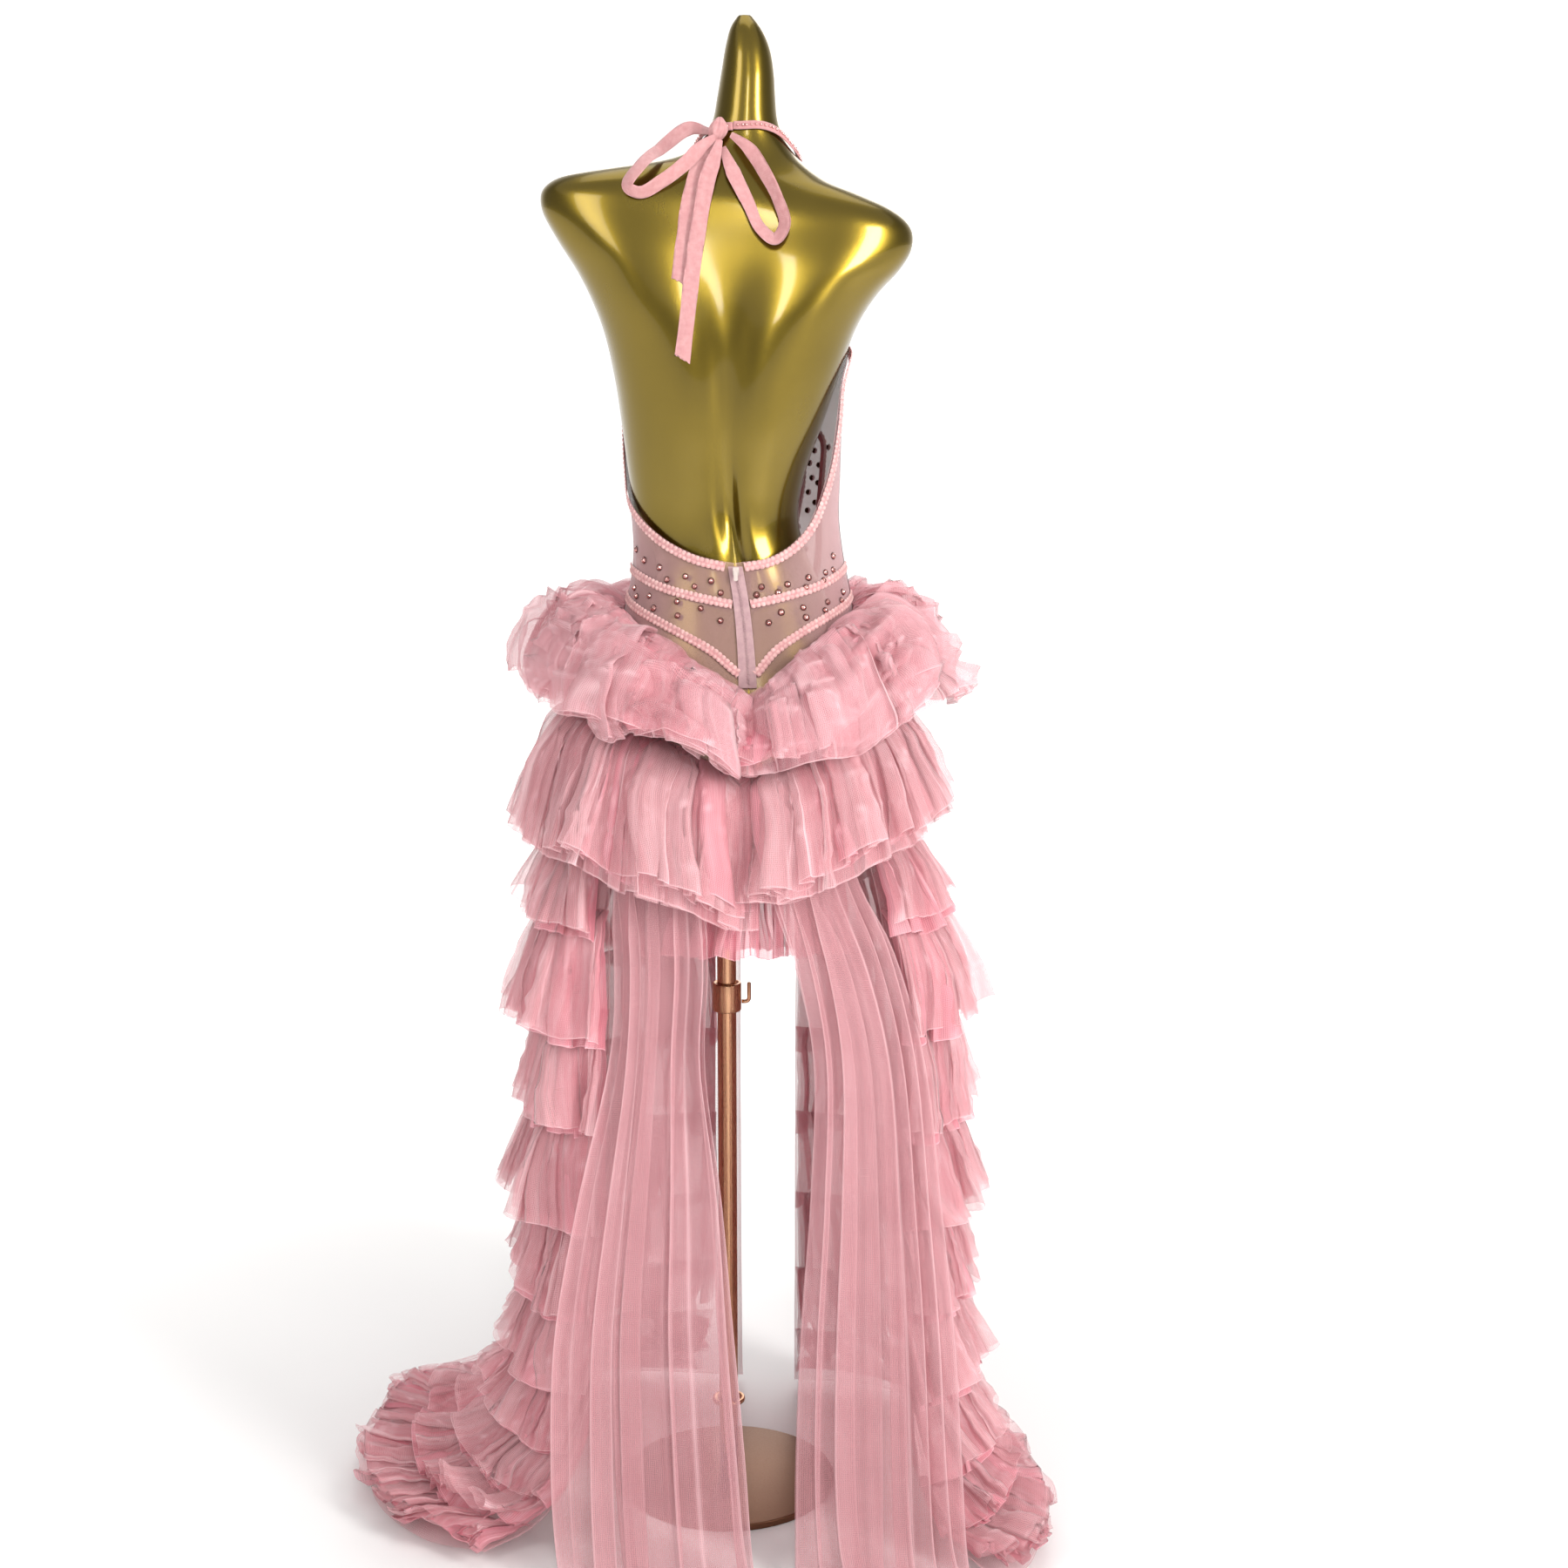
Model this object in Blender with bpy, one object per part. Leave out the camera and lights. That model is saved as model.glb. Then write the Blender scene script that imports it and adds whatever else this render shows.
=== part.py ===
"""A long party dress with a low back, tiered ruffles and two side trains, on a limbless dress form.

Metres, +Z up. The dress's back faces -Y and its front faces +Y. +X is the wearer's right.
The origin is on the floor, at the middle of the stand's base. Angles go round the body from the
wearer's right side at 0 degrees, through the front at 90, the left side at 180 and the centre
back at 270.
"""

import math

import bpy
import numpy as np

# Cloth and seams
CLOTH_WALL = 0.0015
SEAM_GAP = 0.0003
SEAM_HALF_ANGLE = 0.10
LIFT_ON_PANEL = 0.0022
RUFFLE_LIFT = 0.0015
OVERLAY_LIFT = 0.0010
BRAID_WIDTH = 0.0095
BRAID_HEIGHT = 0.0020
BRAID_LIFT = 0.0017
EDGE_BRAID_LIFT = 0.0027
TAPE_WALL = 0.0010
TAPE_HALF_ANGLE = 2.9

# Form and stand
FORM_COLUMNS = 24
FURROW_DEPTH = 0.007
FURROW_WIDTH = 11.0
BLADE_HEIGHT = 0.005
POLE_RADIUS = 0.0105
POLE_TOP = 0.7002
BASE_RADIUS = 0.120
BASE_HEIGHT = 0.008
COLLAR_RADIUS = 0.0160
COLLAR_BOTTOM = 0.560
COLLAR_TOP = 0.592
RING_RADIUS = 0.0185
RING_BOTTOM = 0.098
RING_TOP = 0.103
SCREW_RADIUS = 0.0022
SCREW_HEIGHT = 0.570
SCREW_START = 0.0163
SCREW_REACH = 0.0245
SCREW_LEVER = 0.022

# Dress levels
LOWEST_HIP_SECTION = 0.780
PANEL_LEVELS = (1.040, 1.012, 0.985, 0.958, 0.925, 0.880, 0.830, 0.780, 0.722)
OVERLAY_SEAM = 0.815
TRAIN_SEAM = 0.800
SHORT_SKIRT_SEAM = 0.775

# The form's outline: height, left x, right x, back y, front y, middle x, middle y,
# squareness of the section (2 is an ellipse) and the sideways tilt.
FORM_SECTIONS = np.array([
    [0.7005, -0.080, 0.098, -0.055, 0.042, 0.010, -0.008, 2.2, 0.00],
    [0.7150, -0.112, 0.130, -0.076, 0.060, 0.010, -0.009, 2.2, 0.00],
    [0.7400, -0.132, 0.150, -0.092, 0.072, 0.012, -0.010, 2.2, 0.00],
    [0.7800, -0.142, 0.158, -0.104, 0.076, 0.016, -0.012, 2.2, 0.00],
    [0.8300, -0.146, 0.162, -0.116, 0.078, 0.020, -0.014, 2.2, 0.00],
    [0.8800, -0.142, 0.158, -0.118, 0.080, 0.025, -0.014, 2.2, 0.00],
    [0.9300, -0.130, 0.147, -0.108, 0.082, 0.027, -0.010, 2.2, 0.00],
    [0.9800, -0.112, 0.128, -0.090, 0.080, 0.024, -0.004, 2.2, 0.00],
    [1.0200, -0.100, 0.108, -0.074, 0.076, 0.019, 0.002, 2.2, 0.00],
    [1.0600, -0.094, 0.088, -0.063, 0.075, 0.012, 0.004, 2.2, 0.00],
    [1.1000, -0.095, 0.078, -0.061, 0.080, 0.006, 0.006, 2.2, 0.00],
    [1.1500, -0.102, 0.086, -0.068, 0.096, 0.003, 0.009, 2.2, 0.00],
    [1.2000, -0.108, 0.104, -0.077, 0.113, 0.002, 0.010, 2.2, 0.00],
    [1.2500, -0.115, 0.121, -0.081, 0.108, 0.003, 0.008, 2.3, 0.00],
    [1.3050, -0.129, 0.140, -0.080, 0.094, 0.004, 0.004, 2.4, -0.02],
    [1.3450, -0.150, 0.162, -0.075, 0.080, 0.004, 0.002, 2.5, -0.06],
    [1.3750, -0.173, 0.184, -0.070, 0.068, 0.004, 0.000, 2.6, -0.09],
    [1.4050, -0.188, 0.197, -0.063, 0.058, 0.005, -0.002, 2.6, -0.10],
    [1.4240, -0.182, 0.191, -0.059, 0.052, 0.006, -0.003, 2.6, -0.10],
    [1.4370, -0.160, 0.172, -0.055, 0.047, 0.008, -0.003, 2.5, -0.10],
    [1.4470, -0.122, 0.142, -0.051, 0.043, 0.012, -0.003, 2.4, -0.10],
    [1.4560, -0.082, 0.110, -0.047, 0.040, 0.016, -0.003, 2.3, -0.10],
    [1.4680, -0.046, 0.085, -0.042, 0.037, 0.020, -0.002, 2.2, -0.08],
    [1.4850, -0.022, 0.068, -0.037, 0.035, 0.023, -0.001, 2.1, -0.06],
    [1.5050, -0.011, 0.058, -0.034, 0.034, 0.024, 0.000, 2.0, -0.03],
    [1.5300, -0.006, 0.055, -0.031, 0.032, 0.025, 0.001, 2.0, 0.00],
    [1.5580, -0.001, 0.053, -0.027, 0.029, 0.026, 0.001, 2.0, 0.00],
    [1.5850, 0.004, 0.047, -0.021, 0.023, 0.025, 0.001, 2.0, 0.00],
    [1.6030, 0.010, 0.037, -0.013, 0.015, 0.024, 0.001, 2.0, 0.00],
    [1.6110, 0.016, 0.030, -0.006, 0.008, 0.023, 0.001, 2.0, 0.00],
])

# How far the cloth's middle stands off the form: height, left, right, back, front.
# The cloth bridges the hollow of the waist on the wearer's right.
DRESS_EASE = np.array([
    [0.70, 0.0034, 0.0034, 0.0034, 0.0034],
    [0.78, 0.0034, 0.0034, 0.0034, 0.0034],
    [0.86, 0.0034, 0.0034, 0.0034, 0.0034],
    [0.90, 0.0034, 0.0034, 0.0034, 0.0036],
    [0.94, 0.0034, 0.0044, 0.0034, 0.0042],
    [0.98, 0.0032, 0.0110, 0.0036, 0.0060],
    [1.02, 0.0032, 0.0260, 0.0050, 0.0080],
    [1.06, 0.0034, 0.0380, 0.0080, 0.0100],
    [1.10, 0.0036, 0.0430, 0.0080, 0.0110],
    [1.15, 0.0034, 0.0360, 0.0060, 0.0090],
    [1.20, 0.0036, 0.0195, 0.0050, 0.0060],
    [1.25, 0.0038, 0.0050, 0.0045, 0.0060],
    [1.30, 0.0040, 0.0038, 0.0040, 0.0050],
    [1.46, 0.0034, 0.0034, 0.0034, 0.0036],
])

# The dress's top edge: angle round the body and height.
TOP_EDGE_BACK_LEFT = np.array([
    [180, 1.137], [190, 1.126], [203, 1.112], [220, 1.095], [236, 1.080], [252, 1.068],
    [270, 1.0605],
])
TOP_EDGE_BACK_RIGHT = np.array([
    [270, 1.0605], [288, 1.067], [303, 1.082], [316, 1.103], [326, 1.132], [335, 1.165],
    [342, 1.205], [348, 1.245], [354, 1.264], [360, 1.272],
])
TOP_EDGE_FRONT = np.array([
    [0, 1.272], [12, 1.280], [28, 1.288], [45, 1.300], [60, 1.325], [70, 1.360],
    [77, 1.400], [83, 1.440], [90, 1.450], [97, 1.442], [103, 1.405], [110, 1.365],
    [120, 1.325], [135, 1.290], [150, 1.260], [165, 1.205], [173, 1.165], [180, 1.137],
])

# The two lower rows of braid: angle and height along the middle of each.
MID_BRAID_LEFT = np.array([
    [183, 1.050], [205, 1.044], [228, 1.034], [248, 1.026], [264.5, 1.0195],
])
MID_BRAID_RIGHT = np.array([
    [275.5, 1.0195], [292, 1.026], [312, 1.034], [335, 1.044], [357, 1.052],
])
LOW_BRAID_LEFT = np.array([
    [183, 1.021], [205, 1.012], [226, 1.001], [245, 0.986], [257, 0.972], [265.5, 0.954],
])
LOW_BRAID_RIGHT = np.array([
    [274.5, 0.954], [283, 0.972], [295, 0.986], [314, 1.001], [335, 1.012], [357, 1.021],
])
NECK_BAND_PATH = np.array([
    [260, 1.5000], [300, 1.5010], [330, 1.4950], [360, 1.4800], [405, 1.4640], [450, 1.4570],
    [495, 1.4660], [540, 1.4880], [580, 1.4970], [612, 1.4990],
])

# Hip ruffle seams: angle and height of each seam on the hip, with the share of the full flare.
TOP_RUFFLE_SEAM = np.array([
    [90, 0.994, 0.85], [135, 1.002, 1.00], [180, 1.008, 1.00], [215, 0.995, 1.00],
    [245, 0.966, 0.90], [260, 0.941, 0.62], [270, 0.925, 0.45],
])
MID_RUFFLE_SEAM = np.array([
    [90, 0.900, 0.80], [135, 0.908, 0.95], [180, 0.915, 1.00], [215, 0.905, 1.00],
    [245, 0.880, 1.00], [260, 0.860, 0.85], [270, 0.846, 0.60],
])

# Ruffle profiles: share of the depth, distance out and drop.
TOP_RUFFLE_PROFILE = np.array([
    [0.00, 0.000, 0.000], [0.30, 0.040, -0.006], [0.60, 0.074, 0.020], [1.00, 0.092, 0.086],
])
MID_RUFFLE_PROFILE = np.array([
    [0.00, 0.000, 0.000], [0.30, 0.036, 0.022], [0.65, 0.062, 0.075], [1.00, 0.084, 0.150],
])
SHORT_SKIRT_PROFILE = np.array([
    [0.00, 0.000, 0.000], [0.35, 0.020, 0.042], [1.00, 0.034, 0.117],
])

# The second ruffle falls less far on the wearer's right.
MID_RUFFLE_RIGHT_FALL = 0.92

# Train length profile: distance along the cloth, height, share of the floor spread and share
# of the change from the hip's outline to the train's own.
TRAIN_PROFILE = np.array([
    [0.000, 0.800, 0.000, 0.00], [0.050, 0.752, 0.005, 0.30], [0.105, 0.700, 0.010, 0.65],
    [0.210, 0.597, 0.010, 1.00], [0.315, 0.492, 0.012, 1.00], [0.420, 0.388, 0.018, 1.00],
    [0.525, 0.286, 0.040, 1.00], [0.620, 0.193, 0.100, 1.00], [0.700, 0.118, 0.210, 1.00],
    [0.770, 0.063, 0.370, 1.00], [0.840, 0.028, 0.600, 1.00], [0.920, 0.010, 0.930, 1.00],
])

# Train outlines seen from above: x, y, and how far each spreads over the floor in x and y.
TRAIN_LEFT_PLAN = np.array([
    [-0.118, -0.122, -0.150, -0.065], [-0.156, -0.106, -0.190, -0.045],
    [-0.178, -0.052, -0.235, -0.010], [-0.178, 0.020, -0.255, 0.050],
    [-0.151, 0.092, -0.240, 0.110], [-0.088, 0.142, -0.130, 0.140],
    [0.012, 0.158, 0.000, 0.110],
])
TRAIN_RIGHT_PLAN = np.array([
    [0.174, -0.122, 0.105, -0.100], [0.202, -0.104, 0.125, -0.120],
    [0.219, -0.052, 0.132, -0.080], [0.217, 0.016, 0.115, -0.010],
    [0.194, 0.086, 0.085, 0.045], [0.142, 0.140, 0.048, 0.085],
    [0.076, 0.160, 0.000, 0.090],
])
TRAIN_LEFT_ANGLES = (218.0, 97.0)
TRAIN_RIGHT_ANGLES = (324.0, 437.0)
TRAIN_LEFT_COLUMNS = 21
TRAIN_RIGHT_COLUMNS = 19

# Train tiers: where each starts along the train, its length, flare, wave depth, wave count and
# where its waves start.
TRAIN_LEFT_TIERS = np.array([
    [0.000, 0.118, 0.042, 0.011, 5.6, 0.10], [0.105, 0.120, 0.046, 0.013, 6.1, 0.55],
    [0.210, 0.119, 0.040, 0.013, 5.7, 0.25], [0.315, 0.121, 0.050, 0.014, 6.2, 0.80],
    [0.420, 0.118, 0.042, 0.013, 5.8, 0.40], [0.525, 0.106, 0.040, 0.012, 6.0, 0.05],
    [0.615, 0.092, 0.040, 0.011, 5.7, 0.65], [0.690, 0.090, 0.040, 0.011, 6.2, 0.30],
    [0.765, 0.088, 0.038, 0.011, 5.9, 0.90], [0.838, 0.084, 0.034, 0.010, 6.1, 0.45],
])
TRAIN_RIGHT_TIERS = np.array([
    [0.000, 0.118, 0.034, 0.010, 5.3, 0.35], [0.105, 0.119, 0.044, 0.013, 5.6, 0.00],
    [0.210, 0.121, 0.042, 0.013, 5.2, 0.70], [0.315, 0.120, 0.048, 0.014, 5.7, 0.20],
    [0.420, 0.119, 0.042, 0.013, 5.4, 0.60], [0.525, 0.116, 0.042, 0.012, 5.6, 0.15],
    [0.625, 0.108, 0.040, 0.011, 5.3, 0.85], [0.718, 0.104, 0.038, 0.011, 5.7, 0.50],
    [0.808, 0.112, 0.034, 0.010, 5.4, 0.25],
])

# Overlays: height, x and y of the edge by the centre back, x and y of the outer edge, fold depth.
OVERLAY_LEFT_ROWS = np.array([
    [0.745, -0.020, -0.160, -0.112, -0.112, 0.004], [0.650, -0.020, -0.172, -0.105, -0.140, 0.008],
    [0.550, -0.024, -0.180, -0.110, -0.158, 0.010], [0.410, -0.012, -0.190, -0.137, -0.196, 0.011],
    [0.270, -0.004, -0.196, -0.158, -0.214, 0.011], [0.130, 0.006, -0.202, -0.162, -0.222, 0.011],
    [0.045, 0.012, -0.220, -0.158, -0.238, 0.009], [0.014, 0.018, -0.264, -0.150, -0.276, 0.005],
    [0.008, 0.026, -0.335, -0.136, -0.340, 0.004], [0.008, 0.032, -0.410, -0.120, -0.408, 0.003],
])
OVERLAY_RIGHT_ROWS = np.array([
    [0.745, 0.050, -0.160, 0.132, -0.108, 0.004], [0.650, 0.078, -0.174, 0.172, -0.150, 0.008],
    [0.550, 0.094, -0.183, 0.198, -0.182, 0.010], [0.410, 0.090, -0.190, 0.212, -0.200, 0.011],
    [0.270, 0.080, -0.196, 0.224, -0.212, 0.011], [0.130, 0.075, -0.202, 0.232, -0.222, 0.011],
    [0.045, 0.075, -0.222, 0.238, -0.238, 0.009], [0.014, 0.076, -0.270, 0.246, -0.278, 0.005],
    [0.008, 0.080, -0.345, 0.258, -0.345, 0.004], [0.008, 0.084, -0.425, 0.268, -0.420, 0.003],
])
OVERLAY_LEFT_ANGLES = (266.0, 224.0)
OVERLAY_RIGHT_ANGLES = (275.0, 318.0)
OVERLAY_COLUMNS = 24
OVERLAY_FOLDS = 6.2

# The tie: x, height and distance off the form's back along each strip's middle.
LOOP_LEFT_PATH = np.array([
    [-0.012, 1.494, 0.012], [-0.030, 1.499, 0.016], [-0.058, 1.482, 0.016],
    [-0.082, 1.458, 0.015], [-0.094, 1.438, 0.012], [-0.084, 1.433, 0.007],
    [-0.060, 1.444, 0.0085], [-0.036, 1.462, 0.0105], [-0.016, 1.482, 0.0105],
])
LOOP_RIGHT_PATH = np.array([
    [0.010, 1.490, 0.012], [0.026, 1.478, 0.014], [0.044, 1.452, 0.014],
    [0.058, 1.424, 0.014], [0.064, 1.400, 0.011], [0.054, 1.386, 0.007],
    [0.040, 1.396, 0.005], [0.026, 1.424, 0.004], [0.012, 1.452, 0.004],
    [0.001, 1.478, 0.004],
])
TAIL_SHORT_PATH = np.array([
    [-0.021, 1.464, 0.0018], [-0.027, 1.448, 0.0018], [-0.034, 1.415, 0.0018],
    [-0.039, 1.380, 0.0010], [-0.043, 1.345, 0.0002],
])
TAIL_LONG_PATH = np.array([
    [-0.007, 1.468, 0.0085], [-0.013, 1.450, 0.0075], [-0.021, 1.410, 0.0065],
    [-0.028, 1.365, 0.0050], [-0.034, 1.315, 0.0025], [-0.040, 1.268, 0.0000],
])
RIBBON_WIDTH = 0.017
RIBBON_WALL = 0.0012
KNOT_CENTRE = (-0.003, 1.492)
KNOT_HALF_SIZE = (0.0102, 0.0060, 0.0100)
KNOT_OFF_FORM = 0.0108

# The zip's pull tab
PULL_LENGTH = 0.0140
PULL_WIDTH = 0.0042
PULL_WALL = 0.0010
PULL_OVERHANG = 0.0008
PULL_STANDOFF = 0.0014
SLIDER_HALF_SIZE = (0.0030, 0.0015, 0.0040)
SLIDER_HEIGHT = 1.0520
PULL_TILT = 0.0004

# Colours
COLOURS = {
    "tulle": (0.86, 0.50, 0.55, 1.0),
    "net": (0.62, 0.42, 0.42, 1.0),
    "braid": (0.88, 0.56, 0.54, 1.0),
    "ribbon": (0.78, 0.48, 0.48, 1.0),
    "gold": (0.60, 0.43, 0.10, 1.0),
    "copper": (0.72, 0.38, 0.20, 1.0),
    "zip": (0.80, 0.72, 0.70, 1.0),
}


def smooth(table, at):
    """Each column of the table at this value of the first, along a curve through the rows."""
    keys = table[:, 0]
    slopes = np.gradient(table, keys, axis=0)
    at = np.clip(np.asarray(at, float), keys[0], keys[-1])
    row = np.clip(np.searchsorted(keys, at, side="right") - 1, 0, len(keys) - 2)
    span = keys[row + 1] - keys[row]
    t = ((at - keys[row]) / span)[..., None]
    span = span[..., None]
    start = (2 * t**3 - 3 * t**2 + 1) * table[row] + (t**3 - 2 * t**2 + t) * span * slopes[row]
    end = (3 * t**2 - 2 * t**3) * table[row + 1] + (t**3 - t**2) * span * slopes[row + 1]
    return start + end


def along(rows, share):
    """The rows, evenly spaced, read at this share of the way from the first to the last."""
    table = np.column_stack([np.linspace(0.0, 1.0, len(rows)), rows])
    return smooth(table, share)[..., 1:]


def section(height, angle, ease):
    """Points of the body's outline at this height, moved out by ease: left, right, back, front."""
    left, right, back, front, mid_x, mid_y, power, tilt = np.moveaxis(
        smooth(FORM_SECTIONS, height)[..., 1:], -1, 0
    )
    across, deep = np.cos(np.radians(angle)), np.sin(np.radians(angle))
    half_x = np.where(across >= 0, right - mid_x + ease[..., 1], mid_x - left + ease[..., 0])
    half_y = np.where(deep >= 0, front - mid_y + ease[..., 3], mid_y - back + ease[..., 2])
    x = mid_x + half_x * np.sign(across) * np.abs(across) ** (2 / power)
    y = mid_y + half_y * np.sign(deep) * np.abs(deep) ** (2 / power)
    return np.stack([x, y, height + tilt * (x - mid_x)], axis=-1)


def form_surface(angle, height):
    """The form, with the furrow of its spine and its two shoulder blades."""
    angle, height = np.broadcast_arrays(np.asarray(angle, float), np.asarray(height, float))
    points = section(height, angle, np.zeros(angle.shape + (4,)))
    from_back = (angle - 270.0 + 180.0) % 360.0 - 180.0
    on_spine = np.clip((height - 0.96) / 0.10, 0, 1) * np.clip((1.43 - height) / 0.12, 0, 1)
    furrow = FURROW_DEPTH * on_spine * np.exp(-((from_back / FURROW_WIDTH) ** 2))
    blade_row = np.exp(-(((height - 1.335) / 0.055) ** 2))
    blades = BLADE_HEIGHT * blade_row * np.exp(-(((np.abs(from_back) - 36.0) / 16.0) ** 2))
    points[..., 1] += furrow - blades
    return points


def dress_surface(angle, height, lift=0.0):
    """The middle of the bodice's cloth, moved out by lift."""
    angle, height = np.broadcast_arrays(np.asarray(angle, float), np.asarray(height, float))
    level = np.maximum(height, LOWEST_HIP_SECTION)
    ease = smooth(DRESS_EASE, level)[..., 1:] + np.asarray(lift, float)[..., None]
    points = section(level, angle, ease)
    points[..., 2] += height - level
    return points


def outward(angle, height):
    """The level direction straight out of the dress there."""
    step = dress_surface(angle + 0.5, height) - dress_surface(angle - 0.5, height)
    normal = np.stack([step[..., 1], -step[..., 0], np.zeros_like(step[..., 0])], axis=-1)
    return normal / np.linalg.norm(normal, axis=-1, keepdims=True)


def unit(vectors):
    return vectors / np.maximum(np.linalg.norm(vectors, axis=-1, keepdims=True), 1e-12)


def sheet_normals(grid):
    """Unit normals of a grid of points, from its neighbours along rows and columns."""
    down = np.gradient(grid, axis=0)
    side = np.gradient(grid, axis=1)
    return unit(np.cross(side, down))


def add_solid(name, points, faces, colour):
    """A mesh object with faces that point out, in its own material."""
    points = np.asarray(points, float)
    volume = 0.0
    for face in faces:
        for k in range(1, len(face) - 1):
            a, b, c = points[face[0]], points[face[k]], points[face[k + 1]]
            volume += float(np.dot(a, np.cross(b, c)))
    if volume < 0:
        faces = [tuple(reversed(face)) for face in faces]
    mesh = bpy.data.meshes.new(name)
    mesh.from_pydata([tuple(p) for p in points], [], faces)
    mesh.update()
    solid = bpy.data.objects.new(name, mesh)
    bpy.context.scene.collection.objects.link(solid)
    material = bpy.data.materials.new(name)
    material.use_nodes = True
    shader = material.node_tree.nodes["Principled BSDF"]
    shader.inputs["Base Color"].default_value = COLOURS[colour]
    metal = colour in ("gold", "copper", "zip")
    shader.inputs["Metallic"].default_value = 1.0 if metal else 0.0
    shader.inputs["Roughness"].default_value = 0.25 if metal else 0.85
    mesh.materials.append(material)
    return solid


def cloth(name, grid, colour, wall=CLOTH_WALL):
    """A sheet of cloth with this wall, its middle on the grid of points."""
    normals = sheet_normals(grid)
    rows, columns = grid.shape[:2]
    points = np.concatenate(
        [(grid + normals * wall / 2).reshape(-1, 3), (grid - normals * wall / 2).reshape(-1, 3)]
    )
    other = rows * columns
    faces = []
    for r in range(rows - 1):
        for c in range(columns - 1):
            a = r * columns + c
            faces.append((a, a + 1, a + 1 + columns, a + columns))
            faces.append((other + a, other + a + columns, other + a + columns + 1, other + a + 1))
    last = (rows - 1) * columns
    for c in range(columns - 1):
        faces.append((c, other + c, other + c + 1, c + 1))
        faces.append((last + c, last + c + 1, other + last + c + 1, other + last + c))
    for r in range(rows - 1):
        a, b = r * columns, (r + 1) * columns
        faces.append((a, b, other + b, other + a))
        a, b = a + columns - 1, b + columns - 1
        faces.append((a, other + a, other + b, b))
    return add_solid(name, points, faces, colour)


def loft(name, rings, colour):
    """A solid through closed rings of points, with a flat fan over each end."""
    rows, columns = rings.shape[:2]
    points = list(rings.reshape(-1, 3)) + [rings[0].mean(axis=0), rings[-1].mean(axis=0)]
    first, last = rows * columns, rows * columns + 1
    faces = []
    for r in range(rows - 1):
        for c in range(columns):
            d = (c + 1) % columns
            a, b = r * columns, (r + 1) * columns
            faces.append((a + c, a + d, b + d, b + c))
    for c in range(columns):
        d = (c + 1) % columns
        faces.append((first, d, c))
        top = (rows - 1) * columns
        faces.append((last, top + c, top + d))
    return add_solid(name, points, faces, colour)


def turned(name, profile, colour, centre=(0.0, 0.0), columns=24):
    """A solid of revolution about an upright axis through rings of radius and height."""
    turn = np.linspace(0, 2 * math.pi, columns, endpoint=False)
    rings = [
        np.column_stack([
            centre[0] + radius * np.cos(turn), centre[1] + radius * np.sin(turn),
            np.full(columns, height),
        ])
        for radius, height in profile
    ]
    return loft(name, np.array(rings), colour)


def sleeve(name, inner, outer, bottom, top, colour, columns=16):
    """A ring with a hole through it, about the upright axis."""
    turn = np.linspace(0, 2 * math.pi, columns, endpoint=False)
    corners = [(inner, bottom), (outer, bottom), (outer, top), (inner, top)]
    points = [
        (radius * math.cos(a), radius * math.sin(a), height)
        for a in turn
        for radius, height in corners
    ]
    faces = []
    for c in range(columns):
        a, b = 4 * c, 4 * ((c + 1) % columns)
        for k in range(4):
            faces.append((a + k, b + k, b + (k + 1) % 4, a + (k + 1) % 4))
    return add_solid(name, points, faces, colour)


def strip(name, middle, side, normal, width, height, colour, arch=0.35, bottom=0.0):
    """A flat strip along its middle line, a little arched, its underside at bottom."""
    outline = np.array([
        [-0.5, 0.0], [-0.5, 1.0 - arch], [0.0, 1.0], [0.5, 1.0 - arch], [0.5, 0.0],
    ])
    rings = [
        [m + s * across * width + n * (bottom + up * height) for across, up in outline]
        for m, s, n in zip(middle, side, normal)
    ]
    return loft(name, np.array(rings), colour)


def directions_on_dress(points, angles, heights):
    """Along, across and out of the dress's cloth at points of a path on it."""
    along_path = unit(np.gradient(points, axis=0))
    turn = dress_surface(angles + 0.4, heights) - dress_surface(angles - 0.4, heights)
    rise = dress_surface(angles, heights + 0.002) - dress_surface(angles, heights - 0.002)
    out = unit(np.cross(turn, rise))
    return along_path, unit(np.cross(out, along_path)), out


def braid(name, table, samples, inset=0.0, lift=BRAID_LIFT):
    """A braid on the dress along a table of angles and heights."""
    lengths = np.concatenate([
        [0], np.cumsum(np.linalg.norm(np.diff(dress_surface(table[:, 0], table[:, 1]), axis=0),
                                      axis=1)),
    ])
    path = smooth(np.column_stack([lengths, table]), np.linspace(0, lengths[-1], samples))
    angles, heights = path[:, 1], path[:, 2]
    points = dress_surface(angles, heights)
    _, side, out = directions_on_dress(points, angles, heights)
    middle = points + side * inset
    return strip(
        name, middle, side, out, BRAID_WIDTH, BRAID_HEIGHT, "braid",
        bottom=lift,
    )


def bodice_panel(name, edge, columns, upper_rows, start, end):
    """A panel of the bodice from its top edge down to the hip."""
    angles = np.linspace(start, end, columns)
    tops = smooth(edge, angles)[:, 1]
    share = np.linspace(0, 1, upper_rows + 1)[:-1, None]
    upper = tops + (PANEL_LEVELS[0] - tops) * share
    lower = np.repeat(np.array(PANEL_LEVELS)[:, None], columns, axis=1)
    heights = np.concatenate([upper, lower])
    return cloth(name, dress_surface(np.broadcast_to(angles, heights.shape), heights), "net")


def wave(share, count, start):
    """An uneven row of waves from -1 to 1."""
    lead = 0.45 * np.sin(2 * math.pi * (1.7 * share + start))
    return np.sin(2 * math.pi * (count * share + start) + lead)


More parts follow.
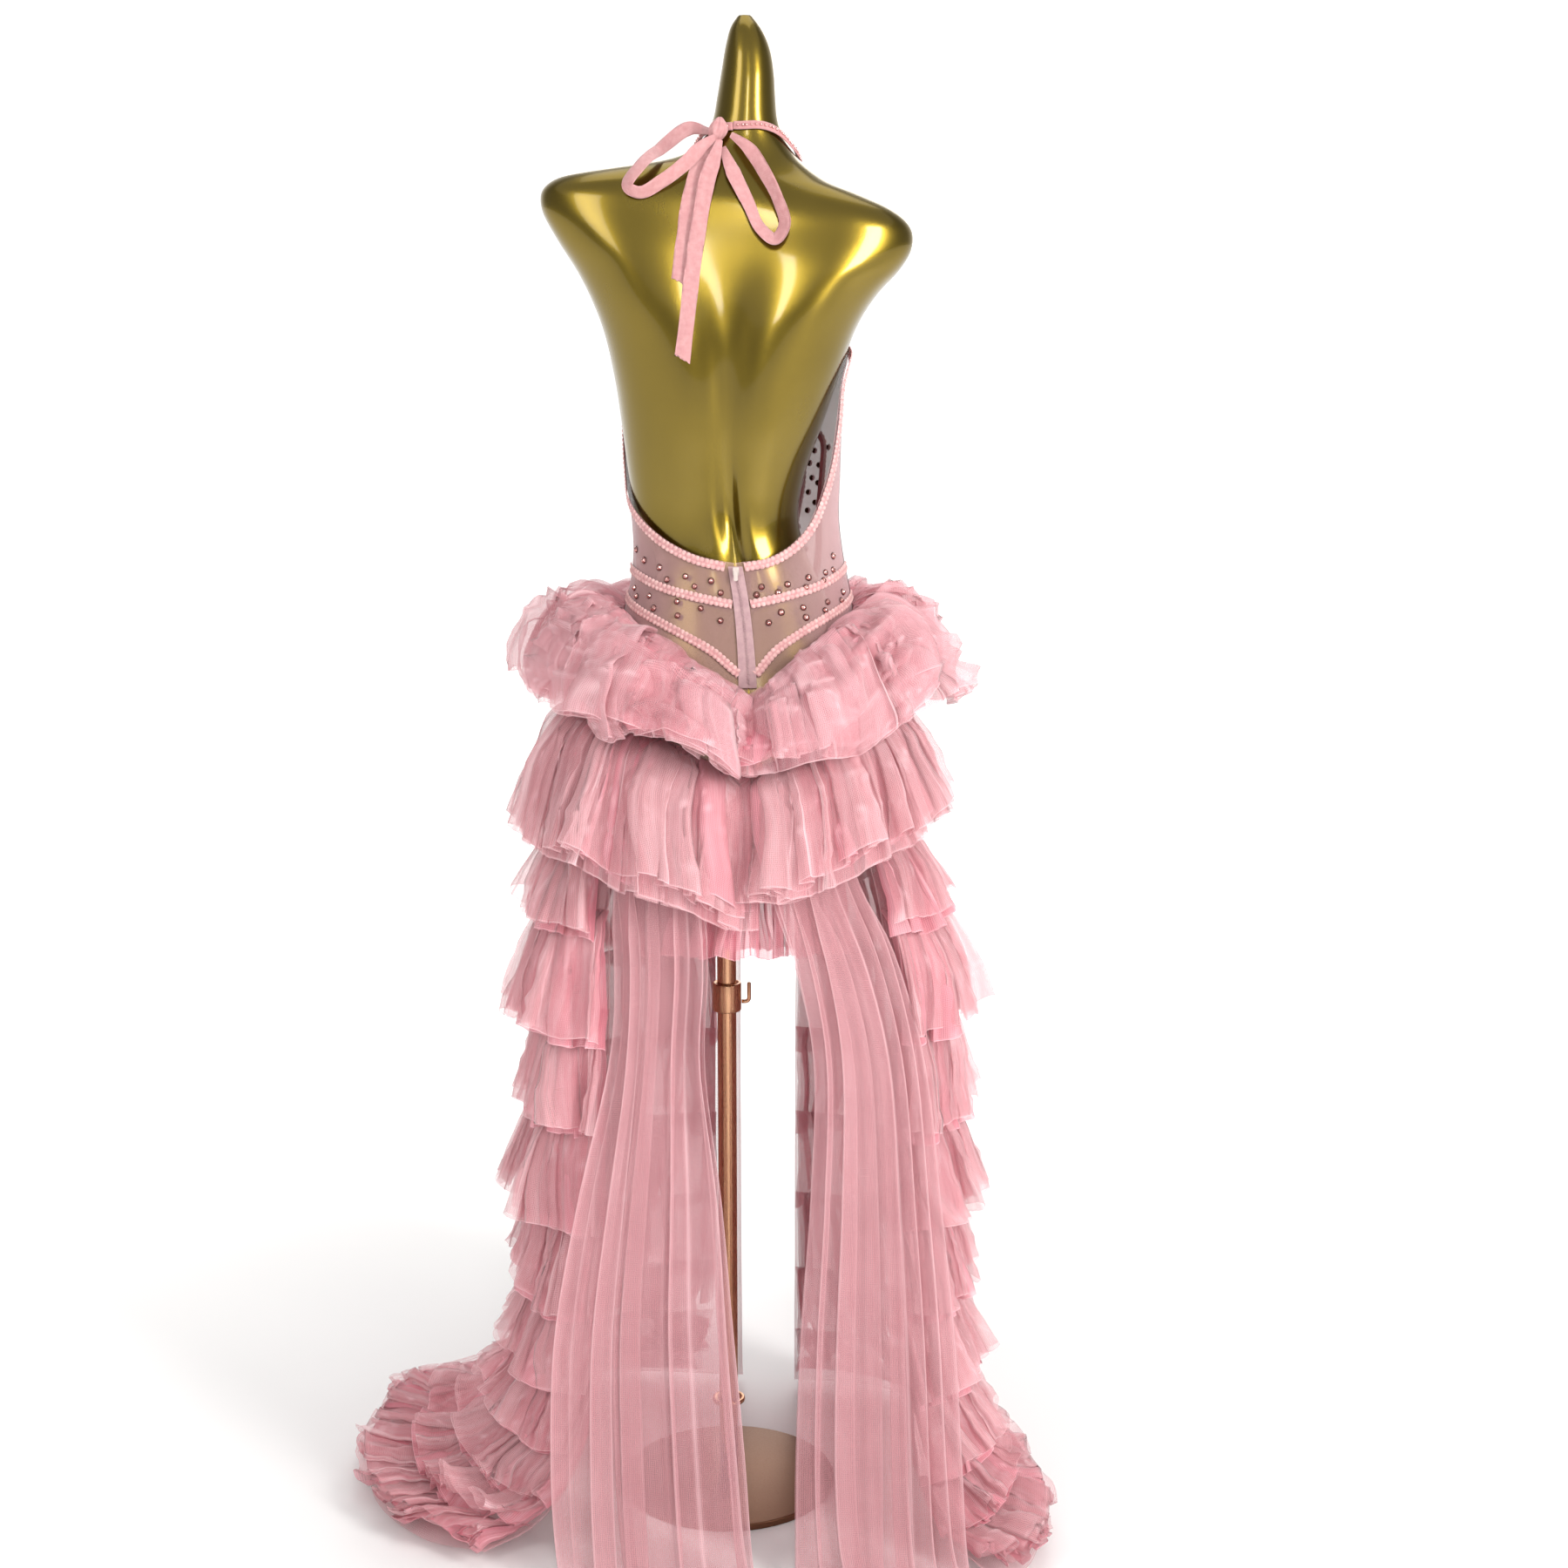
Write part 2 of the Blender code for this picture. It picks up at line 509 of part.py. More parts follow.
def hip_ruffle(name, mirror, seam, profile, columns, waves, start, depth, lift, fall):
    """A ruffle round one half of the hip, from the centre back to the centre front."""
    share = np.linspace(0, 1, columns)
    left_angles = 268.2 - (268.2 - 92.0) * share
    read = smooth(seam, left_angles)
    angles = 540.0 - left_angles if mirror else left_angles
    seam_points = dress_surface(angles, read[:, 1], RUFFLE_LIFT)
    out = outward(angles, read[:, 1])
    ripple = wave(share, waves, start)
    hem = 0.35 * wave(share, waves * 0.45, start + 0.3)
    rows = []
    for part, reach, drop in profile:
        grid = seam_points + out * (reach * read[:, 2] + depth * part * ripple)[:, None]
        grid[:, 2] += -drop * fall + part * (lift * np.roll(ripple, 1) + 0.010 * hem)
        rows.append(grid)
    return cloth(name, np.array(rows), "tulle")


def train_surface(plan, angles, share, distance):
    """A train's base panel: share across it and distance down it."""
    share, distance = np.broadcast_arrays(np.asarray(share, float), np.asarray(distance, float))
    start, end = angles
    height, spread, change = np.moveaxis(smooth(TRAIN_PROFILE, distance)[..., 1:], -1, 0)
    hip = dress_surface(start + (end - start) * share, np.full(share.shape, TRAIN_SEAM),
                        LIFT_ON_PANEL)
    low = along(plan, share)
    x = hip[..., 0] + (low[..., 0] - hip[..., 0]) * change + low[..., 2] * spread
    y = hip[..., 1] + (low[..., 1] - hip[..., 1]) * change + low[..., 3] * spread
    return np.stack([x, y, height], axis=-1)


def train_normals(plan, angles, share, distance):
    step = 0.004
    across = train_surface(plan, angles, share + step, distance) - train_surface(
        plan, angles, share - step, distance
    )
    down = train_surface(plan, angles, share, distance + step) - train_surface(
        plan, angles, share, distance - step
    )
    normal = unit(np.cross(down, across))
    middle = np.array([0.02, 0.0, 0.3])
    point = train_surface(plan, angles, np.array(0.4), np.array(0.4))
    probe = train_surface(plan, angles, np.array(0.4), np.array(0.404)) - point
    side = train_surface(plan, angles, np.array(0.404), np.array(0.4)) - point
    facing = np.dot(np.cross(probe, side), point - middle)
    return normal if facing > 0 else -normal


def train(side, plan, angles, columns, tiers):
    """A train's base panel and the gathered tiers sewn on it."""
    share = np.linspace(0, 1, columns + 1)
    starts = np.append(tiers[:, 0], TRAIN_PROFILE[-1, 0])
    rows = np.array([train_surface(plan, angles, share, at) for at in starts])
    cloth(f"train_panel_{side}", rows, "tulle")
    parts = np.array([0.0, 0.5, 1.0])
    for number, (start, length, flare, depth, waves, phase) in enumerate(tiers, 1):
        grid = []
        for part in parts:
            distance = start + length * part
            inside = np.minimum(distance, TRAIN_PROFILE[-1, 0] - 0.001)
            points = train_surface(plan, angles, share, inside)
            normals = train_normals(plan, angles, np.clip(share, 0.01, 0.99), inside)
            off = CLOTH_WALL + SEAM_GAP + flare * part**0.5
            off = off + depth * part * wave(share, waves, phase)
            grid.append(points + normals * np.asarray(off)[:, None])
        cloth(f"train_{side}_{number:02d}", np.array(grid), "tulle")


def overlay(name, angles, table, phase):
    """A long plain panel from the hip to the floor, with folds that deepen as it falls."""
    share = np.linspace(0, 1, OVERLAY_COLUMNS + 1)
    start, end = angles
    top = dress_surface(start + (end - start) * share, OVERLAY_SEAM, OVERLAY_LIFT)
    grid = [top]
    for height, near_x, near_y, far_x, far_y, _ in table:
        x = near_x + (far_x - near_x) * share
        y = near_y + (far_y - near_y) * share
        grid.append(np.column_stack([x, y, np.full(len(share), height)]))
    grid = np.array(grid)
    normals = sheet_normals(grid)
    if normals[3, OVERLAY_COLUMNS // 2, 1] > 0:
        normals = -normals
    depth = np.concatenate([[0.0], table[:, 5]])
    folds = 0.5 + 0.5 * wave(share, OVERLAY_FOLDS, phase)
    grid = grid + normals * (depth[:, None] * folds)[..., None]
    cloth(name, grid, "tulle")


def back_depth(x, height):
    """How far back the form reaches at this x and height."""
    angles = np.linspace(181.0, 359.0, 180)
    heights = np.full_like(angles, height)
    for _ in range(3):
        points = form_surface(angles, heights)
        heights = heights + (height - points[:, 2])
    order = np.argsort(points[:, 0])
    return float(np.interp(x, points[order, 0], points[order, 1]))


def ribbon(name, path, samples, turn_width=0.0):
    """A strip of the tie over the form's back, along a table of x, height and distance off."""
    lengths = np.concatenate([[0], np.cumsum(np.linalg.norm(np.diff(path, axis=0), axis=1))])
    line = smooth(np.column_stack([lengths, path]), np.linspace(0, lengths[-1], samples))[:, 1:]
    heading = unit(np.gradient(line[:, :2], axis=0)) * RIBBON_WIDTH / 2
    middle = np.array([
        [x, min(back_depth(x + k * up, z - k * right) for k in (-1, 0, 1)) - off, z]
        for (x, z, off), (right, up) in zip(line, heading)
    ])
    tangent = unit(np.gradient(middle, axis=0))
    backward = np.tile([0.0, -1.0, 0.0], (samples, 1))
    side = unit(np.cross(backward, tangent))
    tilt = turn_width * np.sin(np.linspace(0, math.pi, samples))[:, None]
    side = unit(side + backward * tilt)
    normal = unit(np.cross(tangent, side))
    normal = np.where((normal[:, 1] > 0)[:, None], -normal, normal)
    return strip(name, middle, side, normal, RIBBON_WIDTH, RIBBON_WALL, "ribbon", arch=0.15)


def block(name, centre, axes, half_size, colour):
    """A box with its own directions."""
    corners = [
        centre + sum(s * h * a for s, h, a in zip(signs, half_size, axes))
        for signs in [(-1, -1, -1), (1, -1, -1), (1, 1, -1), (-1, 1, -1),
                      (-1, -1, 1), (1, -1, 1), (1, 1, 1), (-1, 1, 1)]
    ]
    faces = [(0, 1, 2, 3), (4, 7, 6, 5), (0, 4, 5, 1), (1, 5, 6, 2), (2, 6, 7, 3), (3, 7, 4, 0)]
    return add_solid(name, corners, faces, colour)


def make_form():
    heights = FORM_SECTIONS[:, 0]
    angles = np.linspace(0, 360, FORM_COLUMNS, endpoint=False)
    rings = form_surface(angles[None, :], heights[:, None])
    loft("dress_form", rings, "gold")


def make_stand():
    turned("stand_base", [
        (BASE_RADIUS - 0.001, 0.0), (BASE_RADIUS, 0.001), (BASE_RADIUS, BASE_HEIGHT - 0.002),
        (BASE_RADIUS - 0.002, BASE_HEIGHT),
    ], "copper", columns=26)
    turned("stand_pole", [
        (POLE_RADIUS, BASE_HEIGHT + SEAM_GAP), (POLE_RADIUS, POLE_TOP - 0.012),
        (0.030, POLE_TOP - 0.004), (0.030, POLE_TOP),
    ], "copper", columns=16)
    hole = POLE_RADIUS + SEAM_GAP
    sleeve("stand_collar", hole, COLLAR_RADIUS, COLLAR_BOTTOM, COLLAR_TOP, "copper")
    sleeve("stand_ring", hole, RING_RADIUS, RING_BOTTOM, RING_TOP, "copper")
    turn = np.linspace(0, 2 * math.pi, 8, endpoint=False)
    path = np.array([
        [SCREW_START, SCREW_HEIGHT], [SCREW_REACH - 0.003, SCREW_HEIGHT],
        [SCREW_REACH - 0.0008, SCREW_HEIGHT + 0.0009], [SCREW_REACH, SCREW_HEIGHT + 0.003],
        [SCREW_REACH, SCREW_HEIGHT + SCREW_LEVER],
    ])
    tangent = unit(np.gradient(path, axis=0))
    rings = []
    for (x, z), (tx, tz) in zip(path, tangent):
        ring = [
            (x - tz * SCREW_RADIUS * math.cos(a), SCREW_RADIUS * math.sin(a),
             z + tx * SCREW_RADIUS * math.cos(a))
            for a in turn
        ]
        rings.append(ring)
    screw = loft("clamp_screw", np.array(rings), "copper")
    pivot = np.array([SCREW_START, 0.0, SCREW_HEIGHT])
    move_origin(screw, pivot)


def move_origin(solid, place):
    """Puts the object's origin at this place and leaves its faces where they are."""
    for vertex in solid.data.vertices:
        vertex.co = [vertex.co[k] - float(place[k]) for k in range(3)]
    solid.location = [float(value) for value in place]


def make_bodice():
    gap = SEAM_HALF_ANGLE
    bodice_panel("front_bodice", TOP_EDGE_FRONT, 18, 7, gap, 180 - gap)
    bodice_panel("back_left", TOP_EDGE_BACK_LEFT, 10, 3, 180 + gap, 270 - gap)
    bodice_panel("back_right", TOP_EDGE_BACK_RIGHT, 12, 5, 270 + gap, 360 - gap)
    left_edge = np.concatenate([TOP_EDGE_FRONT[10:, :], TOP_EDGE_BACK_LEFT[1:, :]])
    left_edge[-1] = (264.5, 1.0625)
    right_edge = np.concatenate([TOP_EDGE_BACK_RIGHT[:-1, :], TOP_EDGE_FRONT[:8, :] + [360, 0]])
    right_edge[0] = (275.5, 1.0620)
    inset = -(BRAID_WIDTH / 2 + 0.0004)
    braid("neck_braid_left", left_edge, 27, inset)
    braid("neck_braid_right", right_edge, 27, inset, EDGE_BRAID_LIFT)
    braid("mid_braid_left", MID_BRAID_LEFT, 13)
    braid("mid_braid_right", MID_BRAID_RIGHT, 13)
    braid("low_braid_left", LOW_BRAID_LEFT, 14)
    braid("low_braid_right", LOW_BRAID_RIGHT, 14)


def make_zip():
    angles = 270.0 + np.linspace(-TAPE_HALF_ANGLE, TAPE_HALF_ANGLE, 4)
    heights = np.linspace(1.0570, 0.9360, 7)[:, None]
    lift = CLOTH_WALL / 2 + SEAM_GAP * 2.5 + TAPE_WALL / 2
    grid = dress_surface(np.broadcast_to(angles, (7, 4)), np.broadcast_to(heights, (7, 4)), lift)
    cloth("zip_tape", grid, "net", wall=TAPE_WALL)
    across = np.array([1.0, 0.0, 0.0])
    on_tape = dress_surface(270.0, SLIDER_HEIGHT, lift)
    below = dress_surface(270.0, SLIDER_HEIGHT - 0.012, lift)
    down = unit(below - on_tape)
    down[0] = 0.0
    down = unit(down)
    out = np.cross(across, down)
    out = out if out[1] < 0 else -out
    wide, thick, tall = SLIDER_HALF_SIZE
    middle = on_tape + out * (TAPE_WALL / 2 + SEAM_GAP + 0.0003 + thick)
    block("zip_slider", middle, (across, out, down), (wide, thick, tall), "zip")
    hinge = middle + out * (thick + PULL_STANDOFF) - down * (tall - 0.001)
    reach = unit(down + out * PULL_TILT)
    face = np.cross(across, reach)
    centre = hinge + reach * (PULL_LENGTH / 2 - PULL_OVERHANG)
    pull = block(
        "zip_pull", centre, (across, face, reach),
        (PULL_WIDTH / 2, PULL_WALL / 2, PULL_LENGTH / 2), "zip",
    )
    move_origin(pull, hinge)


def make_tie():
    lengths = np.linspace(0, 1, 25)
    keys = NECK_BAND_PATH[:, 0]
    angles = keys[0] + (keys[-1] - keys[0]) * lengths
    heights = smooth(NECK_BAND_PATH, angles)[:, 1]
    points = section(heights, angles, np.full(angles.shape + (4,), 0.0026))
    tangent = unit(np.gradient(points, axis=0))
    turn = section(heights, angles + 0.5, np.zeros(angles.shape + (4,))) - section(
        heights, angles - 0.5, np.zeros(angles.shape + (4,))
    )
    rise = section(heights + 0.002, angles, np.zeros(angles.shape + (4,))) - section(
        heights - 0.002, angles, np.zeros(angles.shape + (4,))
    )
    out = unit(np.cross(turn, rise))
    side = unit(np.cross(out, tangent))
    strip("neck_band", points, side, out, 0.0085, 0.0018, "braid")
    ribbon("bow_loop_left", LOOP_LEFT_PATH, 16, 0.9)
    ribbon("bow_loop_right", LOOP_RIGHT_PATH, 18, 0.9)
    ribbon("bow_tail_short", TAIL_SHORT_PATH, 8)
    ribbon("bow_tail_long", TAIL_LONG_PATH, 11)
    x, z = KNOT_CENTRE
    y = back_depth(x, z) - KNOT_OFF_FORM
    wide, thick, tall = KNOT_HALF_SIZE
    rings = []
    for up, size in [(-1.0, 0.45), (-0.6, 0.9), (0.0, 1.0), (0.6, 0.9), (1.0, 0.45)]:
        turn = np.linspace(0, 2 * math.pi, 8, endpoint=False)
        rings.append(np.column_stack([
            x + wide * size * np.cos(turn), y + thick * size * np.sin(turn),
            np.full(8, z + tall * up),
        ]))
    loft("bow_knot", np.array(rings), "ribbon")


def make_ruffles():
    for side, mirror, start, fall in (
        ("left", False, 0.15, 1.0), ("right", True, 0.62, MID_RUFFLE_RIGHT_FALL),
    ):
        hip_ruffle(f"hip_ruffle_top_{side}", mirror, TOP_RUFFLE_SEAM, TOP_RUFFLE_PROFILE,
                   30, 7.0, start, 0.012, 0.010, 1.0)
        hip_ruffle(f"hip_ruffle_mid_{side}", mirror, MID_RUFFLE_SEAM, MID_RUFFLE_PROFILE,
                   44, 11.0, start + 0.3, 0.011, 0.006, fall)
    share = np.linspace(0, 1, 28)
    angles = 231.0 + (311.0 - 231.0) * share
    seam_points = dress_surface(angles, SHORT_SKIRT_SEAM, LIFT_ON_PANEL)
    out = outward(angles, np.full_like(angles, SHORT_SKIRT_SEAM))
    ripple = wave(share, 8.0, 0.4)
    rows = []
    for part, reach, drop in SHORT_SKIRT_PROFILE:
        grid = seam_points + out * (reach + 0.009 * part * ripple)[:, None]
        grid[:, 2] -= drop
        rows.append(grid)
    cloth("short_skirt_back", np.array(rows), "tulle")


def main():
    for thing in list(bpy.data.objects):
        bpy.data.objects.remove(thing)
    make_form()
    make_stand()
    make_bodice()
    make_zip()
    make_tie()
    make_ruffles()
    train("left", TRAIN_LEFT_PLAN, TRAIN_LEFT_ANGLES, TRAIN_LEFT_COLUMNS, TRAIN_LEFT_TIERS)
    train("right", TRAIN_RIGHT_PLAN, TRAIN_RIGHT_ANGLES, TRAIN_RIGHT_COLUMNS, TRAIN_RIGHT_TIERS)
    overlay("overlay_left", OVERLAY_LEFT_ANGLES, OVERLAY_LEFT_ROWS, 0.2)
    overlay("overlay_right", OVERLAY_RIGHT_ANGLES, OVERLAY_RIGHT_ROWS, 0.7)


main()
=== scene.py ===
"""A long party dress in pink tulle on a gold limbless dress form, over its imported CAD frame.

Metres, +Z up, in the same frame as the CAD: the dress's back faces -Y and +X is the wearer's
right. Angles go round the body from the wearer's right side at 0 degrees, through the front at
90, the left side at 180 and the centre back at 270.
"""

import math

import bpy
import numpy as np
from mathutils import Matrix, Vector


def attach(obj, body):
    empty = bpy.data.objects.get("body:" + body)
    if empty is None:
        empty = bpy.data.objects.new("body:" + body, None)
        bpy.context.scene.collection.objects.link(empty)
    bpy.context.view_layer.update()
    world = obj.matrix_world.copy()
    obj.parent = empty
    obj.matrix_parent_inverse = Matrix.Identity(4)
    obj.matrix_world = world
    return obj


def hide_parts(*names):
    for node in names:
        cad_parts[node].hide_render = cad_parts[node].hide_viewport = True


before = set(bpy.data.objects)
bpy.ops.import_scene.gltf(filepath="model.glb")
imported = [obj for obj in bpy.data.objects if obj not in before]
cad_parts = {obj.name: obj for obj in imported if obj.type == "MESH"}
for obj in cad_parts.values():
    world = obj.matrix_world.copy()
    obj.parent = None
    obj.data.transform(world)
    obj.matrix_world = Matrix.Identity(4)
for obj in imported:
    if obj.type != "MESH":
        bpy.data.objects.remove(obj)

# The camera at the photo's viewing angle
CAMERA_PLACE = (0.063, -2.5, 1.30)
CAMERA_PITCH = 11.0
CAMERA_LENS = 54.0
SENSOR_WIDTH = 36.0
PHOTO_SIZE = 1800.0

# Soft studio lights: name, place, aim, width, height, power in watts and colour
LIGHTS = (
    ("key_left", (-1.9, -2.4, 2.5), (0.0, 0.0, 1.1), 1.0, 1.4, 23.0, (1.0, 0.98, 0.95)),
    ("fill_right", (2.1, -2.0, 1.9), (0.0, 0.0, 1.0), 0.6, 1.4, 72.0, (1.0, 0.98, 0.96)),
    ("strip_behind", (0.25, -3.2, 2.2), (0.02, 0.0, 1.25), 0.30, 1.2, 18.0, (1.0, 1.0, 1.0)),
    ("top_soft", (0.1, 0.3, 3.6), (0.0, 0.0, 1.0), 2.2, 2.2, 22.0, (1.0, 0.99, 0.98)),
    ("front_soft", (0.4, 3.0, 2.2), (0.0, 0.0, 0.9), 2.4, 2.2, 30.0, (1.0, 0.99, 0.98)),
)
SKY_POWER = 0.85
WORLD_FRONT = 0.34
WORLD_BACK = 1.12
WORLD_TOP = 0.55
WARM_WHITE = (1.0, 0.985, 0.97, 1.0)
FLOOR_REACH = 14.0

# Cloth and seams
CLOTH_WALL = 0.0015
SEAM_GAP = 0.0003
SEAM_HALF_ANGLE = 0.10
LIFT_ON_PANEL = 0.0022
RUFFLE_LIFT = 0.0015
HEM_RAG = 0.0006
OVERLAY_LIFT = 0.0010
BRAID_WIDTH = 0.0095
BRAID_HEIGHT = 0.0020
BRAID_LIFT = 0.0017
EDGE_BRAID_LIFT = 0.0027
TAPE_WALL = 0.0010
TAPE_HALF_ANGLE = 2.9
TAPE_TOP = 1.0570
TAPE_BOTTOM = 0.9360
TEETH_TOP = 1.0440
TEETH_BOTTOM = 0.9400
TOOTH_STEP = 0.0016

# Form and stand
FURROW_DEPTH = 0.007
FURROW_WIDTH = 11.0
BLADE_HEIGHT = 0.005
POLE_RADIUS = 0.0105
POLE_TOP = 0.7002
BASE_RADIUS = 0.120
BASE_HEIGHT = 0.008
COLLAR_RADIUS = 0.0160
COLLAR_BOTTOM = 0.560
COLLAR_TOP = 0.592
RING_RADIUS = 0.0185
RING_BOTTOM = 0.098
RING_TOP = 0.103
SCREW_RADIUS = 0.0022
SCREW_HEIGHT = 0.570
SCREW_START = 0.0163
SCREW_REACH = 0.0245
SCREW_LEVER = 0.022

# Points round or across and down each finer surface
FORM_GRID = (168, 230)
FRONT_GRID = (110, 70)
BACK_GRID = (70, 60)
TAPE_GRID = (15, 80)
TOP_RUFFLE_GRID = (400, 32)
MID_RUFFLE_GRID = (460, 22)
SHORT_SKIRT_GRID = (340, 18)
TRAIN_BASE_GRID = (64, 70)
TIER_ROWS = 14
OVERLAY_GRID = (210, 60)

# Dress levels: the bodice's lower edge inside the ruffles, and the seams
DRESS_BOTTOM = 0.722
LOWEST_HIP_SECTION = 0.780
OVERLAY_SEAM = 0.815
TRAIN_SEAM = 0.800
SHORT_SKIRT_SEAM = 0.775
SHORT_SKIRT_ANGLES = (231.0, 311.0)

# The form's outline: height, left x, right x, back y, front y, middle x, middle y,
# squareness of the section (2 is an ellipse) and the sideways tilt.
FORM_SECTIONS = np.array([
    [0.7005, -0.080, 0.098, -0.055, 0.042, 0.010, -0.008, 2.2, 0.00],
    [0.7150, -0.112, 0.130, -0.076, 0.060, 0.010, -0.009, 2.2, 0.00],
    [0.7400, -0.132, 0.150, -0.092, 0.072, 0.012, -0.010, 2.2, 0.00],
    [0.7800, -0.142, 0.158, -0.104, 0.076, 0.016, -0.012, 2.2, 0.00],
    [0.8300, -0.146, 0.162, -0.116, 0.078, 0.020, -0.014, 2.2, 0.00],
    [0.8800, -0.142, 0.158, -0.118, 0.080, 0.025, -0.014, 2.2, 0.00],
    [0.9300, -0.130, 0.147, -0.108, 0.082, 0.027, -0.010, 2.2, 0.00],
    [0.9800, -0.112, 0.128, -0.090, 0.080, 0.024, -0.004, 2.2, 0.00],
    [1.0200, -0.100, 0.108, -0.074, 0.076, 0.019, 0.002, 2.2, 0.00],
    [1.0600, -0.094, 0.088, -0.063, 0.075, 0.012, 0.004, 2.2, 0.00],
    [1.1000, -0.095, 0.078, -0.061, 0.080, 0.006, 0.006, 2.2, 0.00],
    [1.1500, -0.102, 0.086, -0.068, 0.096, 0.003, 0.009, 2.2, 0.00],
    [1.2000, -0.108, 0.104, -0.077, 0.113, 0.002, 0.010, 2.2, 0.00],
    [1.2500, -0.115, 0.121, -0.081, 0.108, 0.003, 0.008, 2.3, 0.00],
    [1.3050, -0.129, 0.140, -0.080, 0.094, 0.004, 0.004, 2.4, -0.02],
    [1.3450, -0.150, 0.162, -0.075, 0.080, 0.004, 0.002, 2.5, -0.06],
    [1.3750, -0.173, 0.184, -0.070, 0.068, 0.004, 0.000, 2.6, -0.09],
    [1.4050, -0.188, 0.197, -0.063, 0.058, 0.005, -0.002, 2.6, -0.10],
    [1.4240, -0.182, 0.191, -0.059, 0.052, 0.006, -0.003, 2.6, -0.10],
    [1.4370, -0.160, 0.172, -0.055, 0.047, 0.008, -0.003, 2.5, -0.10],
    [1.4470, -0.122, 0.142, -0.051, 0.043, 0.012, -0.003, 2.4, -0.10],
    [1.4560, -0.082, 0.110, -0.047, 0.040, 0.016, -0.003, 2.3, -0.10],
    [1.4680, -0.046, 0.085, -0.042, 0.037, 0.020, -0.002, 2.2, -0.08],
    [1.4850, -0.022, 0.068, -0.037, 0.035, 0.023, -0.001, 2.1, -0.06],
    [1.5050, -0.011, 0.058, -0.034, 0.034, 0.024, 0.000, 2.0, -0.03],
    [1.5300, -0.006, 0.055, -0.031, 0.032, 0.025, 0.001, 2.0, 0.00],
    [1.5580, -0.001, 0.053, -0.027, 0.029, 0.026, 0.001, 2.0, 0.00],
    [1.5850, 0.004, 0.047, -0.021, 0.023, 0.025, 0.001, 2.0, 0.00],
    [1.6030, 0.010, 0.037, -0.013, 0.015, 0.024, 0.001, 2.0, 0.00],
    [1.6110, 0.016, 0.030, -0.006, 0.008, 0.023, 0.001, 2.0, 0.00],
])

# How far the cloth's middle stands off the form: height, left, right, back, front.
# The cloth bridges the hollow of the waist on the wearer's right.
DRESS_EASE = np.array([
    [0.70, 0.0034, 0.0034, 0.0034, 0.0034],
    [0.78, 0.0034, 0.0034, 0.0034, 0.0034],
    [0.86, 0.0034, 0.0034, 0.0034, 0.0034],
    [0.90, 0.0034, 0.0034, 0.0034, 0.0036],
    [0.94, 0.0034, 0.0044, 0.0034, 0.0042],
    [0.98, 0.0032, 0.0110, 0.0036, 0.0060],
    [1.02, 0.0032, 0.0260, 0.0050, 0.0080],
    [1.06, 0.0034, 0.0380, 0.0080, 0.0100],
    [1.10, 0.0036, 0.0430, 0.0080, 0.0110],
    [1.15, 0.0034, 0.0360, 0.0060, 0.0090],
    [1.20, 0.0036, 0.0195, 0.0050, 0.0060],
    [1.25, 0.0038, 0.0050, 0.0045, 0.0060],
    [1.30, 0.0040, 0.0038, 0.0040, 0.0050],
    [1.46, 0.0034, 0.0034, 0.0034, 0.0036],
])

# The dress's top edge: angle round the body and height.
TOP_EDGE_BACK_LEFT = np.array([
    [180, 1.137], [190, 1.126], [203, 1.112], [220, 1.095], [236, 1.080], [252, 1.068],
    [270, 1.0605],
])
TOP_EDGE_BACK_RIGHT = np.array([
    [270, 1.0605], [288, 1.067], [303, 1.082], [316, 1.103], [326, 1.132], [335, 1.165],
    [342, 1.205], [348, 1.245], [354, 1.264], [360, 1.272],
])
TOP_EDGE_FRONT = np.array([
    [0, 1.272], [12, 1.280], [28, 1.288], [45, 1.300], [60, 1.325], [70, 1.360],
    [77, 1.400], [83, 1.440], [90, 1.450], [97, 1.442], [103, 1.405], [110, 1.365],
    [120, 1.325], [135, 1.290], [150, 1.260], [165, 1.205], [173, 1.165], [180, 1.137],
])

# Where the braid of the top edge ends at each side of the zip: angle and height.
NECK_BRAID_END_LEFT = (266.4, 1.0615)
NECK_BRAID_END_RIGHT = (273.6, 1.0612)

# The two lower rows of braid: angle and height along the middle of each.
MID_BRAID_LEFT = np.array([
    [183, 1.050], [205, 1.044], [228, 1.034], [248, 1.026], [266.5, 1.0185],
])
MID_BRAID_RIGHT = np.array([
    [273.5, 1.0185], [292, 1.026], [312, 1.034], [335, 1.044], [357, 1.052],
])
LOW_BRAID_LEFT = np.array([
    [183, 1.021], [205, 1.012], [226, 1.001], [245, 0.986], [257, 0.972], [267.4, 0.949],
])
LOW_BRAID_RIGHT = np.column_stack([540.0 - LOW_BRAID_LEFT[::-1, 0], LOW_BRAID_LEFT[::-1, 1]])

# The neck band: angle and height, and where it starts, at the knot.
NECK_BAND_PATH = np.array([
    [260, 1.5000], [300, 1.5010], [330, 1.4950], [360, 1.4800], [405, 1.4640], [450, 1.4570],
    [495, 1.4660], [540, 1.4880], [580, 1.4970], [612, 1.4990],
])
NECK_BAND_START = 252.5

# Hip ruffle seams: angle and height of each seam on the hip, with the share of the full flare.
TOP_RUFFLE_SEAM = np.array([
    [90, 0.994, 0.85], [135, 1.002, 1.00], [180, 1.008, 1.00], [215, 0.995, 1.00],
    [245, 0.966, 0.90], [260, 0.941, 0.62], [270, 0.925, 0.45],
])
MID_RUFFLE_SEAM = np.array([
    [90, 0.900, 0.80], [135, 0.908, 0.95], [180, 0.915, 1.00], [215, 0.905, 1.00],
    [245, 0.880, 1.00], [260, 0.860, 0.85], [270, 0.846, 0.60],
])

